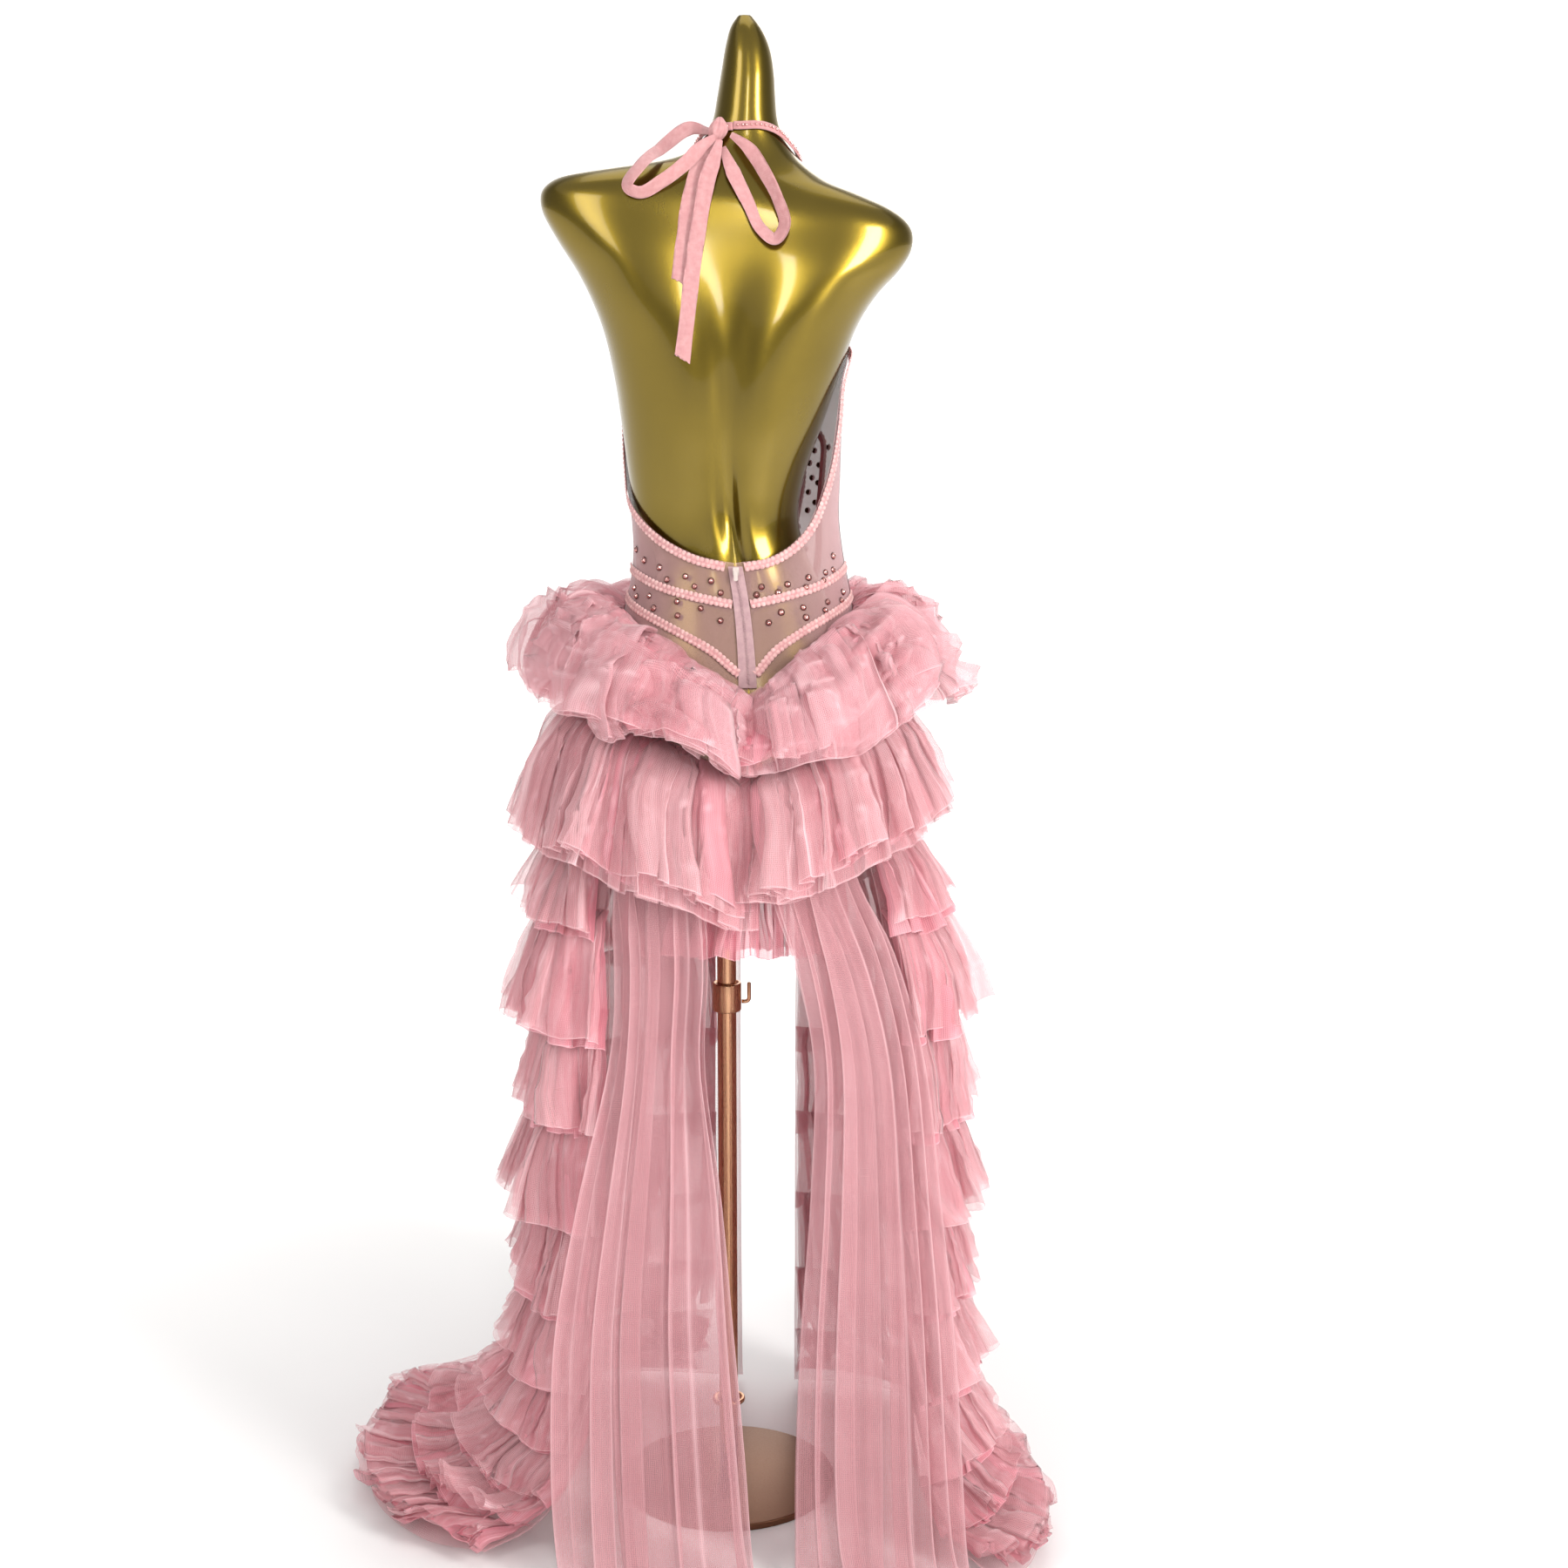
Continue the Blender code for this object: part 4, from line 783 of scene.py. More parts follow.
def rounded(radius, bottom, top, edge, steps=5):
    """A profile of a disc or rod with rounded edges: rings of radius and height."""
    turn = np.linspace(0, math.pi / 2, steps)
    low = [(radius - edge + edge * math.sin(a), bottom + edge - edge * math.cos(a)) for a in turn]
    high = [(radius - edge + edge * math.cos(a), top - edge + edge * math.sin(a)) for a in turn]
    return low + high


# Materials


def shader_of(name):
    material = bpy.data.materials.new(name)
    material.use_nodes = True
    tree = material.node_tree
    return material, tree, tree.nodes["Principled BSDF"]


def give(tree, socket, value):
    """Sets a socket, or links it when the value is a socket too."""
    if isinstance(value, bpy.types.NodeSocket):
        tree.links.new(value, socket)
    else:
        socket.default_value = value


def feed(tree, made, **inputs):
    """Gives a node's inputs by name; underscores stand for spaces."""
    for key, value in inputs.items():
        give(tree, made.inputs[key.replace("_", " ")], value)


def node(tree, kind, settings=None, **inputs):
    """A node with some of its settings and inputs given."""
    made = tree.nodes.new(kind)
    for key, value in (settings or {}).items():
        setattr(made, key, value)
    feed(tree, made, **inputs)
    return made


def attribute(tree, name):
    return node(tree, "ShaderNodeAttribute", {"attribute_name": name}).outputs["Fac"]


def object_place(tree):
    return node(tree, "ShaderNodeTexCoord").outputs["Object"]


def stretched(tree, where, scale):
    return node(tree, "ShaderNodeMapping", Vector=where, Scale=scale).outputs["Vector"]


def noise(tree, where, scale, detail, dimensions="3D", distortion=0.0):
    made = node(tree, "ShaderNodeTexNoise", {"noise_dimensions": dimensions}, Vector=where,
                Scale=scale, Detail=detail, Distortion=distortion)
    return made.outputs["Fac"]


def bumps(tree, height, strength, distance):
    made = node(tree, "ShaderNodeBump", Height=height, Strength=strength, Distance=distance)
    return made.outputs["Normal"]


def range_of(tree, value, low, high, to_low, to_high):
    made = node(tree, "ShaderNodeMapRange", Value=value, From_Min=low, From_Max=high,
                To_Min=to_low, To_Max=to_high)
    return made.outputs["Result"]


def mixed(tree, share, first, second):
    """A colour between two: each is a colour or a socket."""
    made = node(tree, "ShaderNodeMix", {"data_type": "RGBA"})
    for number, value in ((0, share), (6, first), (7, second)):
        give(tree, made.inputs[number], value)
    return made.outputs[2]


def reckoned(tree, operation, first, second, clamp=False):
    """Two values added or multiplied."""
    made = node(tree, "ShaderNodeMath", {"operation": operation, "use_clamp": clamp})
    give(tree, made.inputs[0], first)
    give(tree, made.inputs[1], second)
    return made.outputs[0]


def cloth_place(tree):
    return node(tree, "ShaderNodeUVMap", {"uv_map": "cloth"}).outputs["UV"]


def net_alpha(tree, mesh_size, thread, hole, closer, patch=0.06):
    """Alpha of a net: high on its threads, low in its holes, a little uneven, and raised by
    closer. Also the distance from the threads and the unevenness."""
    where = cloth_place(tree)
    cells = node(tree, "ShaderNodeTexVoronoi",
                 {"voronoi_dimensions": "2D", "feature": "DISTANCE_TO_EDGE"}, Vector=where,
                 Scale=1.0 / mesh_size, Randomness=0.35).outputs["Distance"]
    lines = range_of(tree, cells, 0.05, 0.22, thread, hole)
    cloud = noise(tree, where, 15.0, 2.0, "2D")
    uneven = range_of(tree, cloud, 0.3, 0.7, 1.0 - patch, 1.0 + patch)
    alpha = reckoned(tree, "MULTIPLY", lines, uneven)
    return reckoned(tree, "ADD", alpha, closer, clamp=True), cells, cloud


def tulle(name, light, deep, thread, hole, painted_edge_highlight, painted_streak_highlight=0.42, mesh_size=0.0016):
    """Soft net cloth: painted shade in its folds, and closer, with painted highlights, along
    creases and cut edges.
    """
    material, tree, shader = shader_of(name)
    near_edge = attribute(tree, "edge")
    closer = range_of(tree, near_edge, 0.0, 1.0, 0.0, 0.32)
    alpha, cells, cloud = net_alpha(tree, mesh_size, thread, hole, closer)
    # painted shade: the shade attribute darkens the hollows of the folds and lightens their crests
    colour = mixed(tree, attribute(tree, "shade"), deep, light)
    colour = mixed(tree, range_of(tree, cloud, 0.35, 0.7, 0.0, 0.3), colour, light)
    # painted highlight: faint lighter streaks along the cloth
    highlight_streaks = noise(tree, stretched(tree, cloth_place(tree), (150.0, 11.0, 1.0)), 1.0, 1.5, "2D")
    colour = mixed(tree, range_of(tree, highlight_streaks, 0.42, 0.72, 0.0, painted_streak_highlight), colour, painted_edge_highlight)
    # painted highlight: lighter along creases and cut edges, by the edge attribute
    feed(tree, shader, Alpha=alpha, Base_Color=mixed(tree, near_edge, colour, painted_edge_highlight),
         Roughness=range_of(tree, cells, 0.0, 0.3, 0.62, 0.80), Sheen_Weight=0.25,
         Sheen_Roughness=0.4, Specular_IOR_Level=0.08, Normal=bumps(tree, cells, 0.25, 0.0004))
    return material


def power_net(name, light, deep, thread, hole):
    """A firm fine net, closer towards the sides where it is seen at a slant."""
    material, tree, shader = shader_of(name)
    tone = attribute(tree, "shade")
    closer = range_of(tree, tone, 0.0, 1.0, 0.0, 0.34)
    alpha, cells, _ = net_alpha(tree, 0.0011, thread, hole, closer, 0.04)
    feed(tree, shader, Alpha=alpha, Base_Color=mixed(tree, tone, deep, light),
         Roughness=range_of(tree, cells, 0.0, 0.3, 0.45, 0.7), Sheen_Weight=0.2,
         Normal=bumps(tree, cells, 0.2, 0.0003))
    return material


def metal(name, base, dark, rough, streak=(90.0, 90.0, 6.0), coat=0.0, wear=0.08):
    """A metal or metallic lacquer with uneven gloss and faint marks."""
    material, tree, shader = shader_of(name)
    where = object_place(tree)
    drawn_out = stretched(tree, where, streak)
    grain = noise(tree, drawn_out, 8.0, 5.0)
    cloud = noise(tree, where, 7.0, 4.0)
    marks = noise(tree, drawn_out, 1.3, 2.0, distortion=1.5)
    colour = mixed(tree, range_of(tree, cloud, 0.35, 0.75, 0.0, 0.35), base, dark)
    faint = range_of(tree, marks, 0.69, 0.72, 0.0, wear * 5)
    gloss = range_of(tree, grain, 0.3, 0.7, rough - wear * 0.4, rough + wear)
    feed(tree, shader, Metallic=1.0, Base_Color=mixed(tree, faint, colour, dark), Roughness=gloss,
         Coat_Weight=coat, Coat_Roughness=0.08, Normal=bumps(tree, grain, 0.05, 0.0006))
    return material


def thread_cloth(name, light, deep, scale, rough=0.8, alpha=1.0, painted_gap_shade=0.0):
    """Closely wound thread: a fine slanted rib with uneven colour, and painted shade in its gaps.
    """
    material, tree, shader = shader_of(name)
    where = object_place(tree)
    ribs = node(tree, "ShaderNodeTexWave", {"bands_direction": "DIAGONAL"}, Vector=where,
                Scale=scale, Distortion=2.0, Detail=2.0).outputs["Fac"]
    cloud = noise(tree, where, 180.0, 3.0)
    both = reckoned(tree, "MULTIPLY", range_of(tree, cloud, 0.3, 0.7, 0.25, 1.0),
                    range_of(tree, ribs, 0.0, 1.0, 0.6, 1.0))
    # painted shade in the gaps between the braid's loops, from the shade attribute
    if painted_gap_shade:
        raised = range_of(tree, attribute(tree, "shade"), 0.1, 0.9, 1.0 - painted_gap_shade, 1.15)
        both = reckoned(tree, "MULTIPLY", both, raised)
    feed(tree, shader, Base_Color=mixed(tree, both, deep, light),
         Roughness=range_of(tree, cloud, 0.2, 0.8, rough - 0.08, rough + 0.08), Sheen_Weight=0.3,
         Alpha=alpha, Normal=bumps(tree, ribs, 0.4, 0.0004))
    return material


def floor_material():
    material, tree, shader = shader_of("pale_floor")
    where = object_place(tree)
    share = range_of(tree, noise(tree, where, 2.0, 3.0), 0.2, 0.8, 0.0, 1.0)
    colour = mixed(tree, share, (0.86, 0.86, 0.86, 1), (0.90, 0.90, 0.90, 1))
    span = node(tree, "ShaderNodeVectorMath", {"operation": "LENGTH"})
    give(tree, span.inputs[0], where)
    glow = range_of(tree, span.outputs["Value"], 0.5, 2.6, 0.0, 0.75)
    feed(tree, shader, Base_Color=colour, Roughness=0.9, Specular_IOR_Level=0.1,
         Emission_Color=WARM_WHITE, Emission_Strength=glow)
    return material


MATERIALS = {
    "tulle": tulle("pink_tulle", (0.79, 0.45, 0.48, 1), (0.70, 0.27, 0.31, 1), 0.60, 0.27,
                   (0.90, 0.62, 0.65, 1)),
    "puff": tulle("puffed_tulle", (0.80, 0.44, 0.48, 1), (0.71, 0.27, 0.31, 1), 0.60, 0.28,
                  (0.92, 0.64, 0.67, 1)),
    "inner": tulle("inner_tulle", (0.82, 0.36, 0.41, 1), (0.70, 0.20, 0.26, 1), 0.80, 0.46,
                   (0.88, 0.52, 0.57, 1)),
    "sheer": tulle("sheer_tulle", (0.70, 0.38, 0.41, 1), (0.62, 0.29, 0.32, 1), 0.52, 0.26,
                   (0.84, 0.56, 0.59, 1), 0.16),
    "net": power_net("mauve_net", (0.56, 0.33, 0.35, 1), (0.52, 0.30, 0.28, 1), 0.66, 0.30),
    "braid": thread_cloth("gimp_braid", (0.88, 0.60, 0.57, 1), (0.56, 0.24, 0.25, 1), 900.0,
                          painted_gap_shade=0.8),
    "ribbon": thread_cloth("tulle_ribbon", (0.70, 0.38, 0.38, 1), (0.56, 0.24, 0.25, 1), 500.0,
                           0.75, 0.86),
    "tape": thread_cloth("zip_tape", (0.56, 0.37, 0.38, 1), (0.40, 0.24, 0.26, 1), 1100.0),
    # painted shade for the strips behind the front braid
    "braid_shade_strip": thread_cloth("braid_painted_shade", (0.42, 0.07, 0.09, 1), (0.22, 0.03, 0.04, 1),
                               900.0),
    "gold": metal("gold_lacquer", (0.198, 0.138, 0.016, 1), (0.115, 0.082, 0.007, 1), 0.25,
                  (3.0, 3.0, 1.2), 0.5, 0.03),
    "copper": metal("copper_pole", (0.62, 0.35, 0.21, 1), (0.40, 0.19, 0.10, 1), 0.26,
                    (60.0, 60.0, 3.0), 0.0, 0.08),
    "base": metal("dark_copper", (0.17, 0.085, 0.05, 1), (0.11, 0.05, 0.03, 1), 0.38,
                  (60.0, 60.0, 3.0), 0.0, 0.06),
    "zip": metal("zip_metal", (0.46, 0.39, 0.36, 1), (0.26, 0.20, 0.19, 1), 0.34),
    "stone": metal("rose_stone", (0.60, 0.32, 0.29, 1), (0.38, 0.16, 0.16, 1), 0.14,
                   (200.0, 200.0, 200.0), 0.5),
    "dark_stone": metal("dark_stone", (0.12, 0.035, 0.04, 1), (0.05, 0.015, 0.02, 1), 0.22,
                        (200.0, 200.0, 200.0), 0.5),
    "bead": metal("pink_bead", (0.80, 0.46, 0.44, 1), (0.55, 0.25, 0.24, 1), 0.22,
                  (200.0, 200.0, 200.0), 0.4),
}


# Form and stand


def make_form_piece():
    columns, rows = FORM_GRID
    keys = np.linspace(0, 1, len(FORM_SECTIONS))
    heights = np.interp(np.linspace(0, 1, rows), keys, FORM_SECTIONS[:, 0])
    angles = np.linspace(0, 360, columns, endpoint=False)
    grid = softened(form_surface(angles[None, :], heights[:, None]), 4)
    from_back = off_centre_back(angles)
    for height, at, tall, wide, depth in FORM_RELIEF:
        hill = np.exp(-(((grid[..., 2] - height) / tall) ** 2))
        hill = hill * np.exp(-(((from_back[None, :] - at) / wide) ** 2))
        grid[..., 1] -= depth * hill
    tip = grid[-1].mean(axis=0) + [0, 0, 0.0012]
    low = grid[0].mean(axis=0)
    cap = np.tile(tip, (1, columns, 1))
    foot = np.tile(low, (1, columns, 1))
    grid = np.concatenate([foot, grid, cap])
    form = grid_object("gold_form", grid, MATERIALS["gold"], wrap=True)
    return place(form, ["dress_form"])


def make_stand_pieces():
    copper = MATERIALS["copper"]
    base = rounded(BASE_RADIUS, 0.0, BASE_HEIGHT, 0.0015)
    base += [(POLE_RADIUS + 0.006, BASE_HEIGHT)]
    joined("base_plate", [tube(lathe(base, 96))], MATERIALS["base"], ["stand_base"])
    pole = [(POLE_RADIUS, BASE_HEIGHT + SEAM_GAP)]
    pole += [(POLE_RADIUS, z) for z in np.linspace(0.05, POLE_TOP - 0.012, 24)]
    pole += [(0.030, POLE_TOP - 0.004), (0.030, POLE_TOP)]
    joined("pole", [tube(lathe(pole, 48))], copper, ["stand_pole"])
    inner = POLE_RADIUS + SEAM_GAP
    for name, cad, outer, bottom, top, edge in (
        ("collar", "stand_collar", COLLAR_RADIUS, COLLAR_BOTTOM, COLLAR_TOP, 0.0018),
        ("ring", "stand_ring", RING_RADIUS, RING_BOTTOM, RING_TOP, 0.0016),
    ):
        profile = [(inner, bottom + 0.0004)] + rounded(outer, bottom, top, edge)
        profile += [(inner, top - 0.0004)]
        rings = lathe(profile, 56)
        rings.append(rings[0])
        joined(name, [tube(rings, ends=False)], copper, [cad])
    path = [(SCREW_START, SCREW_HEIGHT), (SCREW_REACH - 0.0048, SCREW_HEIGHT)]
    for a in np.linspace(0, math.pi / 2, 8)[1:]:
        path.append((SCREW_REACH - 0.004 + 0.004 * math.sin(a),
                     SCREW_HEIGHT + 0.004 - 0.004 * math.cos(a)))
    path += [(SCREW_REACH, SCREW_HEIGHT + SCREW_LEVER - 0.0015),
             (SCREW_REACH, SCREW_HEIGHT + SCREW_LEVER - 0.0004),
             (SCREW_REACH, SCREW_HEIGHT + SCREW_LEVER)]
    path = np.array(path)
    heading = unit(np.gradient(path, axis=0))
    radii = np.full(len(path), SCREW_RADIUS)
    radii[-2:] = (SCREW_RADIUS * 0.8, SCREW_RADIUS * 0.35)
    turn = np.linspace(0, 2 * math.pi, 20, endpoint=False)
    rings = [
        [(x - tz * r * math.cos(a), r * math.sin(a), z + tx * r * math.cos(a)) for a in turn]
        for (x, z), (tx, tz), r in zip(path, heading, radii)
    ]
    joined("clamp_lever", [tube(rings)], copper, ["clamp_screw"], "clamp_handle")


# Bodice


def bodice_sheet(name, cad, edge, size, start, end):
    columns, rows = size
    angles = np.linspace(start, end, columns)
    tops = smooth(edge, angles)[:, 1]
    share = np.linspace(0, 1, rows)[:, None]
    heights = tops + (DRESS_BOTTOM - tops) * share
    grid = dress_surface(np.broadcast_to(angles, heights.shape), heights)
    u = np.linspace(0, 1, columns)[None, :]
    pull = blobs(len(name), u, share, 14, 9) * 0.0006
    grid = grid + out_normals(grid) * pull[..., None]
    closer = np.clip((np.abs(off_centre_back(angles)) - 22.0) / 60.0, 0, 1)
    shade = np.broadcast_to(closer, heights.shape)
    return sheet_piece(name, grid, MATERIALS["net"], cad, shade)


def make_bodice_pieces():
    gap = SEAM_HALF_ANGLE
    bodice_sheet("front_net", "front_bodice", TOP_EDGE_FRONT, FRONT_GRID, gap, 180 - gap)
    bodice_sheet("back_net_left", "back_left", TOP_EDGE_BACK_LEFT, BACK_GRID, 180 + gap,
                 270 - gap)
    bodice_sheet("back_net_right", "back_right", TOP_EDGE_BACK_RIGHT, BACK_GRID, 270 + gap,
                 360 - gap)
    left_edge = np.concatenate([TOP_EDGE_FRONT[10:, :], TOP_EDGE_BACK_LEFT[1:, :]])
    left_edge[-1] = NECK_BRAID_END_LEFT
    right_edge = np.concatenate([TOP_EDGE_BACK_RIGHT[:-1, :], TOP_EDGE_FRONT[:8, :] + [360, 0]])
    right_edge[0] = NECK_BRAID_END_RIGHT
    inset = -(BRAID_WIDTH / 2 + 0.0004)
    for row, side, table, shift, lift in (
        ("neck", "left", left_edge, inset, BRAID_LIFT),
        ("neck", "right", right_edge, inset, EDGE_BRAID_LIFT),
        ("mid", "left", MID_BRAID_LEFT, 0.0, BRAID_LIFT),
        ("mid", "right", MID_BRAID_RIGHT, 0.0, BRAID_LIFT),
        ("low", "left", LOW_BRAID_LEFT, 0.0, BRAID_LIFT),
        ("low", "right", LOW_BRAID_RIGHT, 0.0, BRAID_LIFT),
    ):
        scalloped(f"{row}_gimp_{side}", f"{row}_braid_{side}", table, shift, lift)


def path_on_dress(table, spacing):
    """Points, sides and outward directions along a table of angles and heights."""
    ends = dress_surface(table[:, 0], table[:, 1])
    lengths = travelled(ends)
    count = int(lengths[-1] / spacing)
    read = smooth(np.column_stack([lengths, table]), np.linspace(0, lengths[-1], count))
    points = dress_surface(read[:, 1], read[:, 2])
    _, side, out = directions_on_dress(points, read[:, 1], read[:, 2])
    return points, side, out


def scalloped(name, cad, table, inset, lift):
    """A gimp braid: two rows of round loops with a raised cord between them."""
    points, side, out = path_on_dress(table, 0.00075)
    middle = points + side * inset
    length = travelled(middle)
    across = np.array([-1.0, -0.86, -0.66, -0.45, -0.24, 0.0, 0.24, 0.45, 0.66, 0.86, 1.0])
    turn = length / SCALLOP * math.pi
    loop_left = np.abs(np.sin(turn)) ** 0.6
    loop_right = np.abs(np.sin(turn + math.pi / 2)) ** 0.6
    grid = []
    for a in across:
        loop = loop_left if a < 0 else loop_right
        reach = BRAID_WIDTH / 2 * (0.74 + 0.30 * loop)
        swell = math.sqrt(max(0.0, 1 - ((abs(a) - 0.55) / 0.46) ** 2))
        swell = swell * (0.25 + 0.75 * loop)
        cord = math.exp(-((a / 0.13) ** 2))
        up = lift - 0.0009 + BRAID_HEIGHT * np.maximum(swell, 0.55 * cord + 0.1)
        grid.append(middle + side * (a * reach)[:, None] + out * up[:, None])
    grid = np.array(grid)
    # painted shade in the gaps between the loops; it is also darker along the middle cord
    shade = np.array([(loop_left if a < 0 else loop_right) * min(1.0, 0.25 + 2.2 * abs(a))
                      for a in across])
    thing = grid_object(name, grid, MATERIALS["braid"], shade)
    return place(thing, [cad] if cad else [])


def on_dress(px, py):
    """Angle and height on the dress's back that the photo shows at this pixel."""
    angles = np.linspace(181.0, 359.0, 179)[None, :]
    heights = np.linspace(0.93, 1.28, 176)[:, None]
    grid = dress_surface(angles, heights)
    x, y = pixel_of(grid)
    found = np.unravel_index(np.argmin((x - px) ** 2 + (y - py) ** 2), x.shape)
    return float(angles[0, found[1]]), float(heights[found[0], 0])


def pixel_of(points):
    """Where points fall in the photo, in its pixels."""
    offset = points - np.array(CAMERA_PLACE)
    tilt = math.radians(CAMERA_PITCH)
    depth = offset[..., 1] * math.cos(tilt) - offset[..., 2] * math.sin(tilt)
    rise = offset[..., 1] * math.sin(tilt) + offset[..., 2] * math.cos(tilt)
    focal = PHOTO_SIZE * CAMERA_LENS / SENSOR_WIDTH
    middle = PHOTO_SIZE / 2
    return middle + focal * offset[..., 0] / depth, middle - focal * rise / depth


def dome(centre, side, up, out, radius, height, columns=14):
    """A faceted domed stone."""
    rings = []
    for share, level in ((1.0, 0.0), (1.0, 0.18), (0.80, 0.62), (0.45, 0.93), (0.12, 1.0)):
        turn = np.linspace(0, 2 * math.pi, columns, endpoint=False)
        ring = centre + out * (height * level)
        rings.append(ring + radius * share * (np.cos(turn)[:, None] * side
                                              + np.sin(turn)[:, None] * up))
    return tube(rings)


def stone_at(angle, height, radius, tall, lift=0.0008, facing=1.0):
    """A stone on the cloth and the dark cup that holds it."""
    turn = np.array([angle - 0.3, angle, angle + 0.3])
    points = dress_surface(turn, np.full(3, height))
    above = dress_surface(angle, height + 0.002)
    side = unit(points[2] - points[0])
    out = unit(np.cross(side, above - points[1]))
    up = np.cross(out, side)
    out = out * facing
    centre = points[1] + out * lift
    stone = dome(centre, side, up, out, radius, tall)
    return stone, dome(centre, side, up, out, radius * 1.22, tall * 0.35)


def make_stones():
    chance = np.random.RandomState(8)
    stones, cups, inside = [], [], []
    for px, py in STONE_PIXELS:
        angle, height = on_dress(px, py)
        size = STONE_RADIUS * chance.uniform(0.9, 1.1)
        stone, cup = stone_at(angle, height, size, 0.0026)
        stones.append(stone)
        cups.append(cup)
    for angle, height in FRONT_STONES:
        for turned in (angle, 180.0 - angle):
            stone, cup = stone_at(turned, height, STONE_RADIUS, 0.0022)
            stones.append(stone)
            cups.append(cup)
            inside.append(stone_at(turned, height, STONE_RADIUS * 0.95, 0.0006, facing=-1.0)[0])
    joined("stones", stones, MATERIALS["stone"], smooth_faces=False)
    joined("stone_cups", cups, MATERIALS["dark_stone"])
    joined("stone_backs", inside, MATERIALS["dark_stone"])


def make_front_braid():
    """The front's two curved rows of braid on each side, with dark strips of painted shade behind
    them inside the net.
    """
    for number, table in enumerate((FRONT_BRAID_INNER, FRONT_BRAID_OUTER), 1):
        for side in ("right", "left"):
            turned = table.copy()
            if side == "left":
                turned[:, 0] = 180.0 - turned[:, 0]
            scalloped(f"front_gimp_{side}_{number}", None, turned, 0.0, BRAID_LIFT)
            # painted shade: a dark strip just inside the net behind each braid
            points, across, out = path_on_dress(turned, 0.0015)
            strip = [points + across * a - out * 0.0011 for a in np.linspace(-0.0028, 0.0028, 5)]
            back = grid_object(f"front_gimp_shade_{side}_{number}", np.array(strip),
                               MATERIALS["braid_shade_strip"])
            place(back, [])


def make_zip_pieces():
    columns, rows = TAPE_GRID
    angles = 270.0 + np.linspace(-TAPE_HALF_ANGLE, TAPE_HALF_ANGLE, columns)
    heights = np.linspace(TAPE_TOP, TAPE_BOTTOM, rows)[:, None]
    lift = CLOTH_WALL / 2 + SEAM_GAP * 2.5 + TAPE_WALL / 2
    shape = (rows, columns)
    u = np.linspace(0, 1, columns)[None, :]
    v = np.linspace(0, 1, rows)[:, None]
    ripple = 0.0003 * blobs(3, u, v, 3, 16)
    grid = dress_surface(np.broadcast_to(angles, shape), np.broadcast_to(heights, shape),
                         lift + ripple)
    sheet_piece("zip_placket", grid, MATERIALS["tape"], "zip_tape")
    teeth = []
    across = np.array([1.0, 0.0, 0.0])
    levels = np.arange(TEETH_TOP, TEETH_BOTTOM, -TOOTH_STEP)
    middles = dress_surface(np.full_like(levels, 270.0), levels, lift)
    for k, middle in enumerate(middles):
        shift = across * (0.0006 if k % 2 else -0.0006)
        ring = []
        for a in np.linspace(0, 2 * math.pi, 6, endpoint=False):
            ring.append((0.0, -0.0007 - 0.0005 * math.cos(a), 0.0005 * math.sin(a)))
        ring = np.array(ring)
        teeth.append(tube([middle + shift + across * s + ring for s in (-0.0012, 0.0012)]))
    joined("zip_teeth", teeth, MATERIALS["tape"])


# Tie


def ribbon_rings(path, samples, width, wall, turn_width, seed, fray):
    """A crumpled flat tube of tulle over the form's back along x, height and distance off."""
    lengths = travelled(path)
    line = smooth(np.column_stack([lengths, path]), np.linspace(0, lengths[-1], samples))[:, 1:]
    heading = unit(np.gradient(line[:, :2], axis=0)) * width / 2
    middle = np.array([
        [x, min(back_depth(x + k * up, z - k * right) for k in (-1, 0, 1)) - off, z]
        for (x, z, off), (right, up) in zip(line, heading)
    ])
    middle = softened(middle, 3)
    tangent = unit(np.gradient(middle, axis=0))
    backward = np.tile([0.0, -1.0, 0.0], (samples, 1))
    side = unit(np.cross(backward, tangent))
    side = unit(side + backward * (turn_width * np.sin(np.linspace(0, math.pi, samples)))[:, None])
    normal = unit(np.cross(tangent, side))
    normal = np.where((normal[:, 1] > 0)[:, None], -normal, normal)
    chance = np.random.RandomState(seed)
    v = np.linspace(0, 1, samples)
    narrow = 1.0 - 0.16 * (0.5 + 0.5 * blobs(seed, v, v * 0, 9, 1))
    narrow = narrow * np.clip(0.42 + 5 * v, 0, 1)
    if not fray:
        narrow = narrow * np.clip(0.42 + 5 * (1 - v), 0, 1)
    columns = 18
    rings = []
    folds = np.stack([blobs(seed + c, v, v * 0, 16, 1) for c in range(4)])
    for k in range(samples):
        ring = []
        for c in range(columns):
            half = columns // 2
            a = -1 + 2 * c / (half - 1) if c < half else 1 - 2 * (c - half) / (half - 1)
            front = 1 if c < half else 0
            wave_here = folds[0, k] * math.cos(2.2 * a + 1.3 * folds[1, k]) + 0.5 * folds[
                2, k] * math.cos(5.5 * a + 2 * folds[3, k])
            up = wall * (0.5 + 0.45 * wave_here * (0.4 + 0.6 * front))
            up += wall * (0.55 if front else -0.35) * max(0.0, 1 - a * a) ** 0.5
            ring.append(middle[k] + side[k] * a * width / 2 * narrow[k] + normal[k] * up)
        rings.append(ring)
    rings = np.array(rings)
    if fray:
        rag = chance.uniform(-1, 1, columns) * 0.0016 + np.linspace(-0.004, 0.004, columns // 2)[
            np.r_[0:columns // 2, columns // 2 - 1:-1:-1]]
        rings[-1] += tangent[-1] * rag[:, None]
    return rings


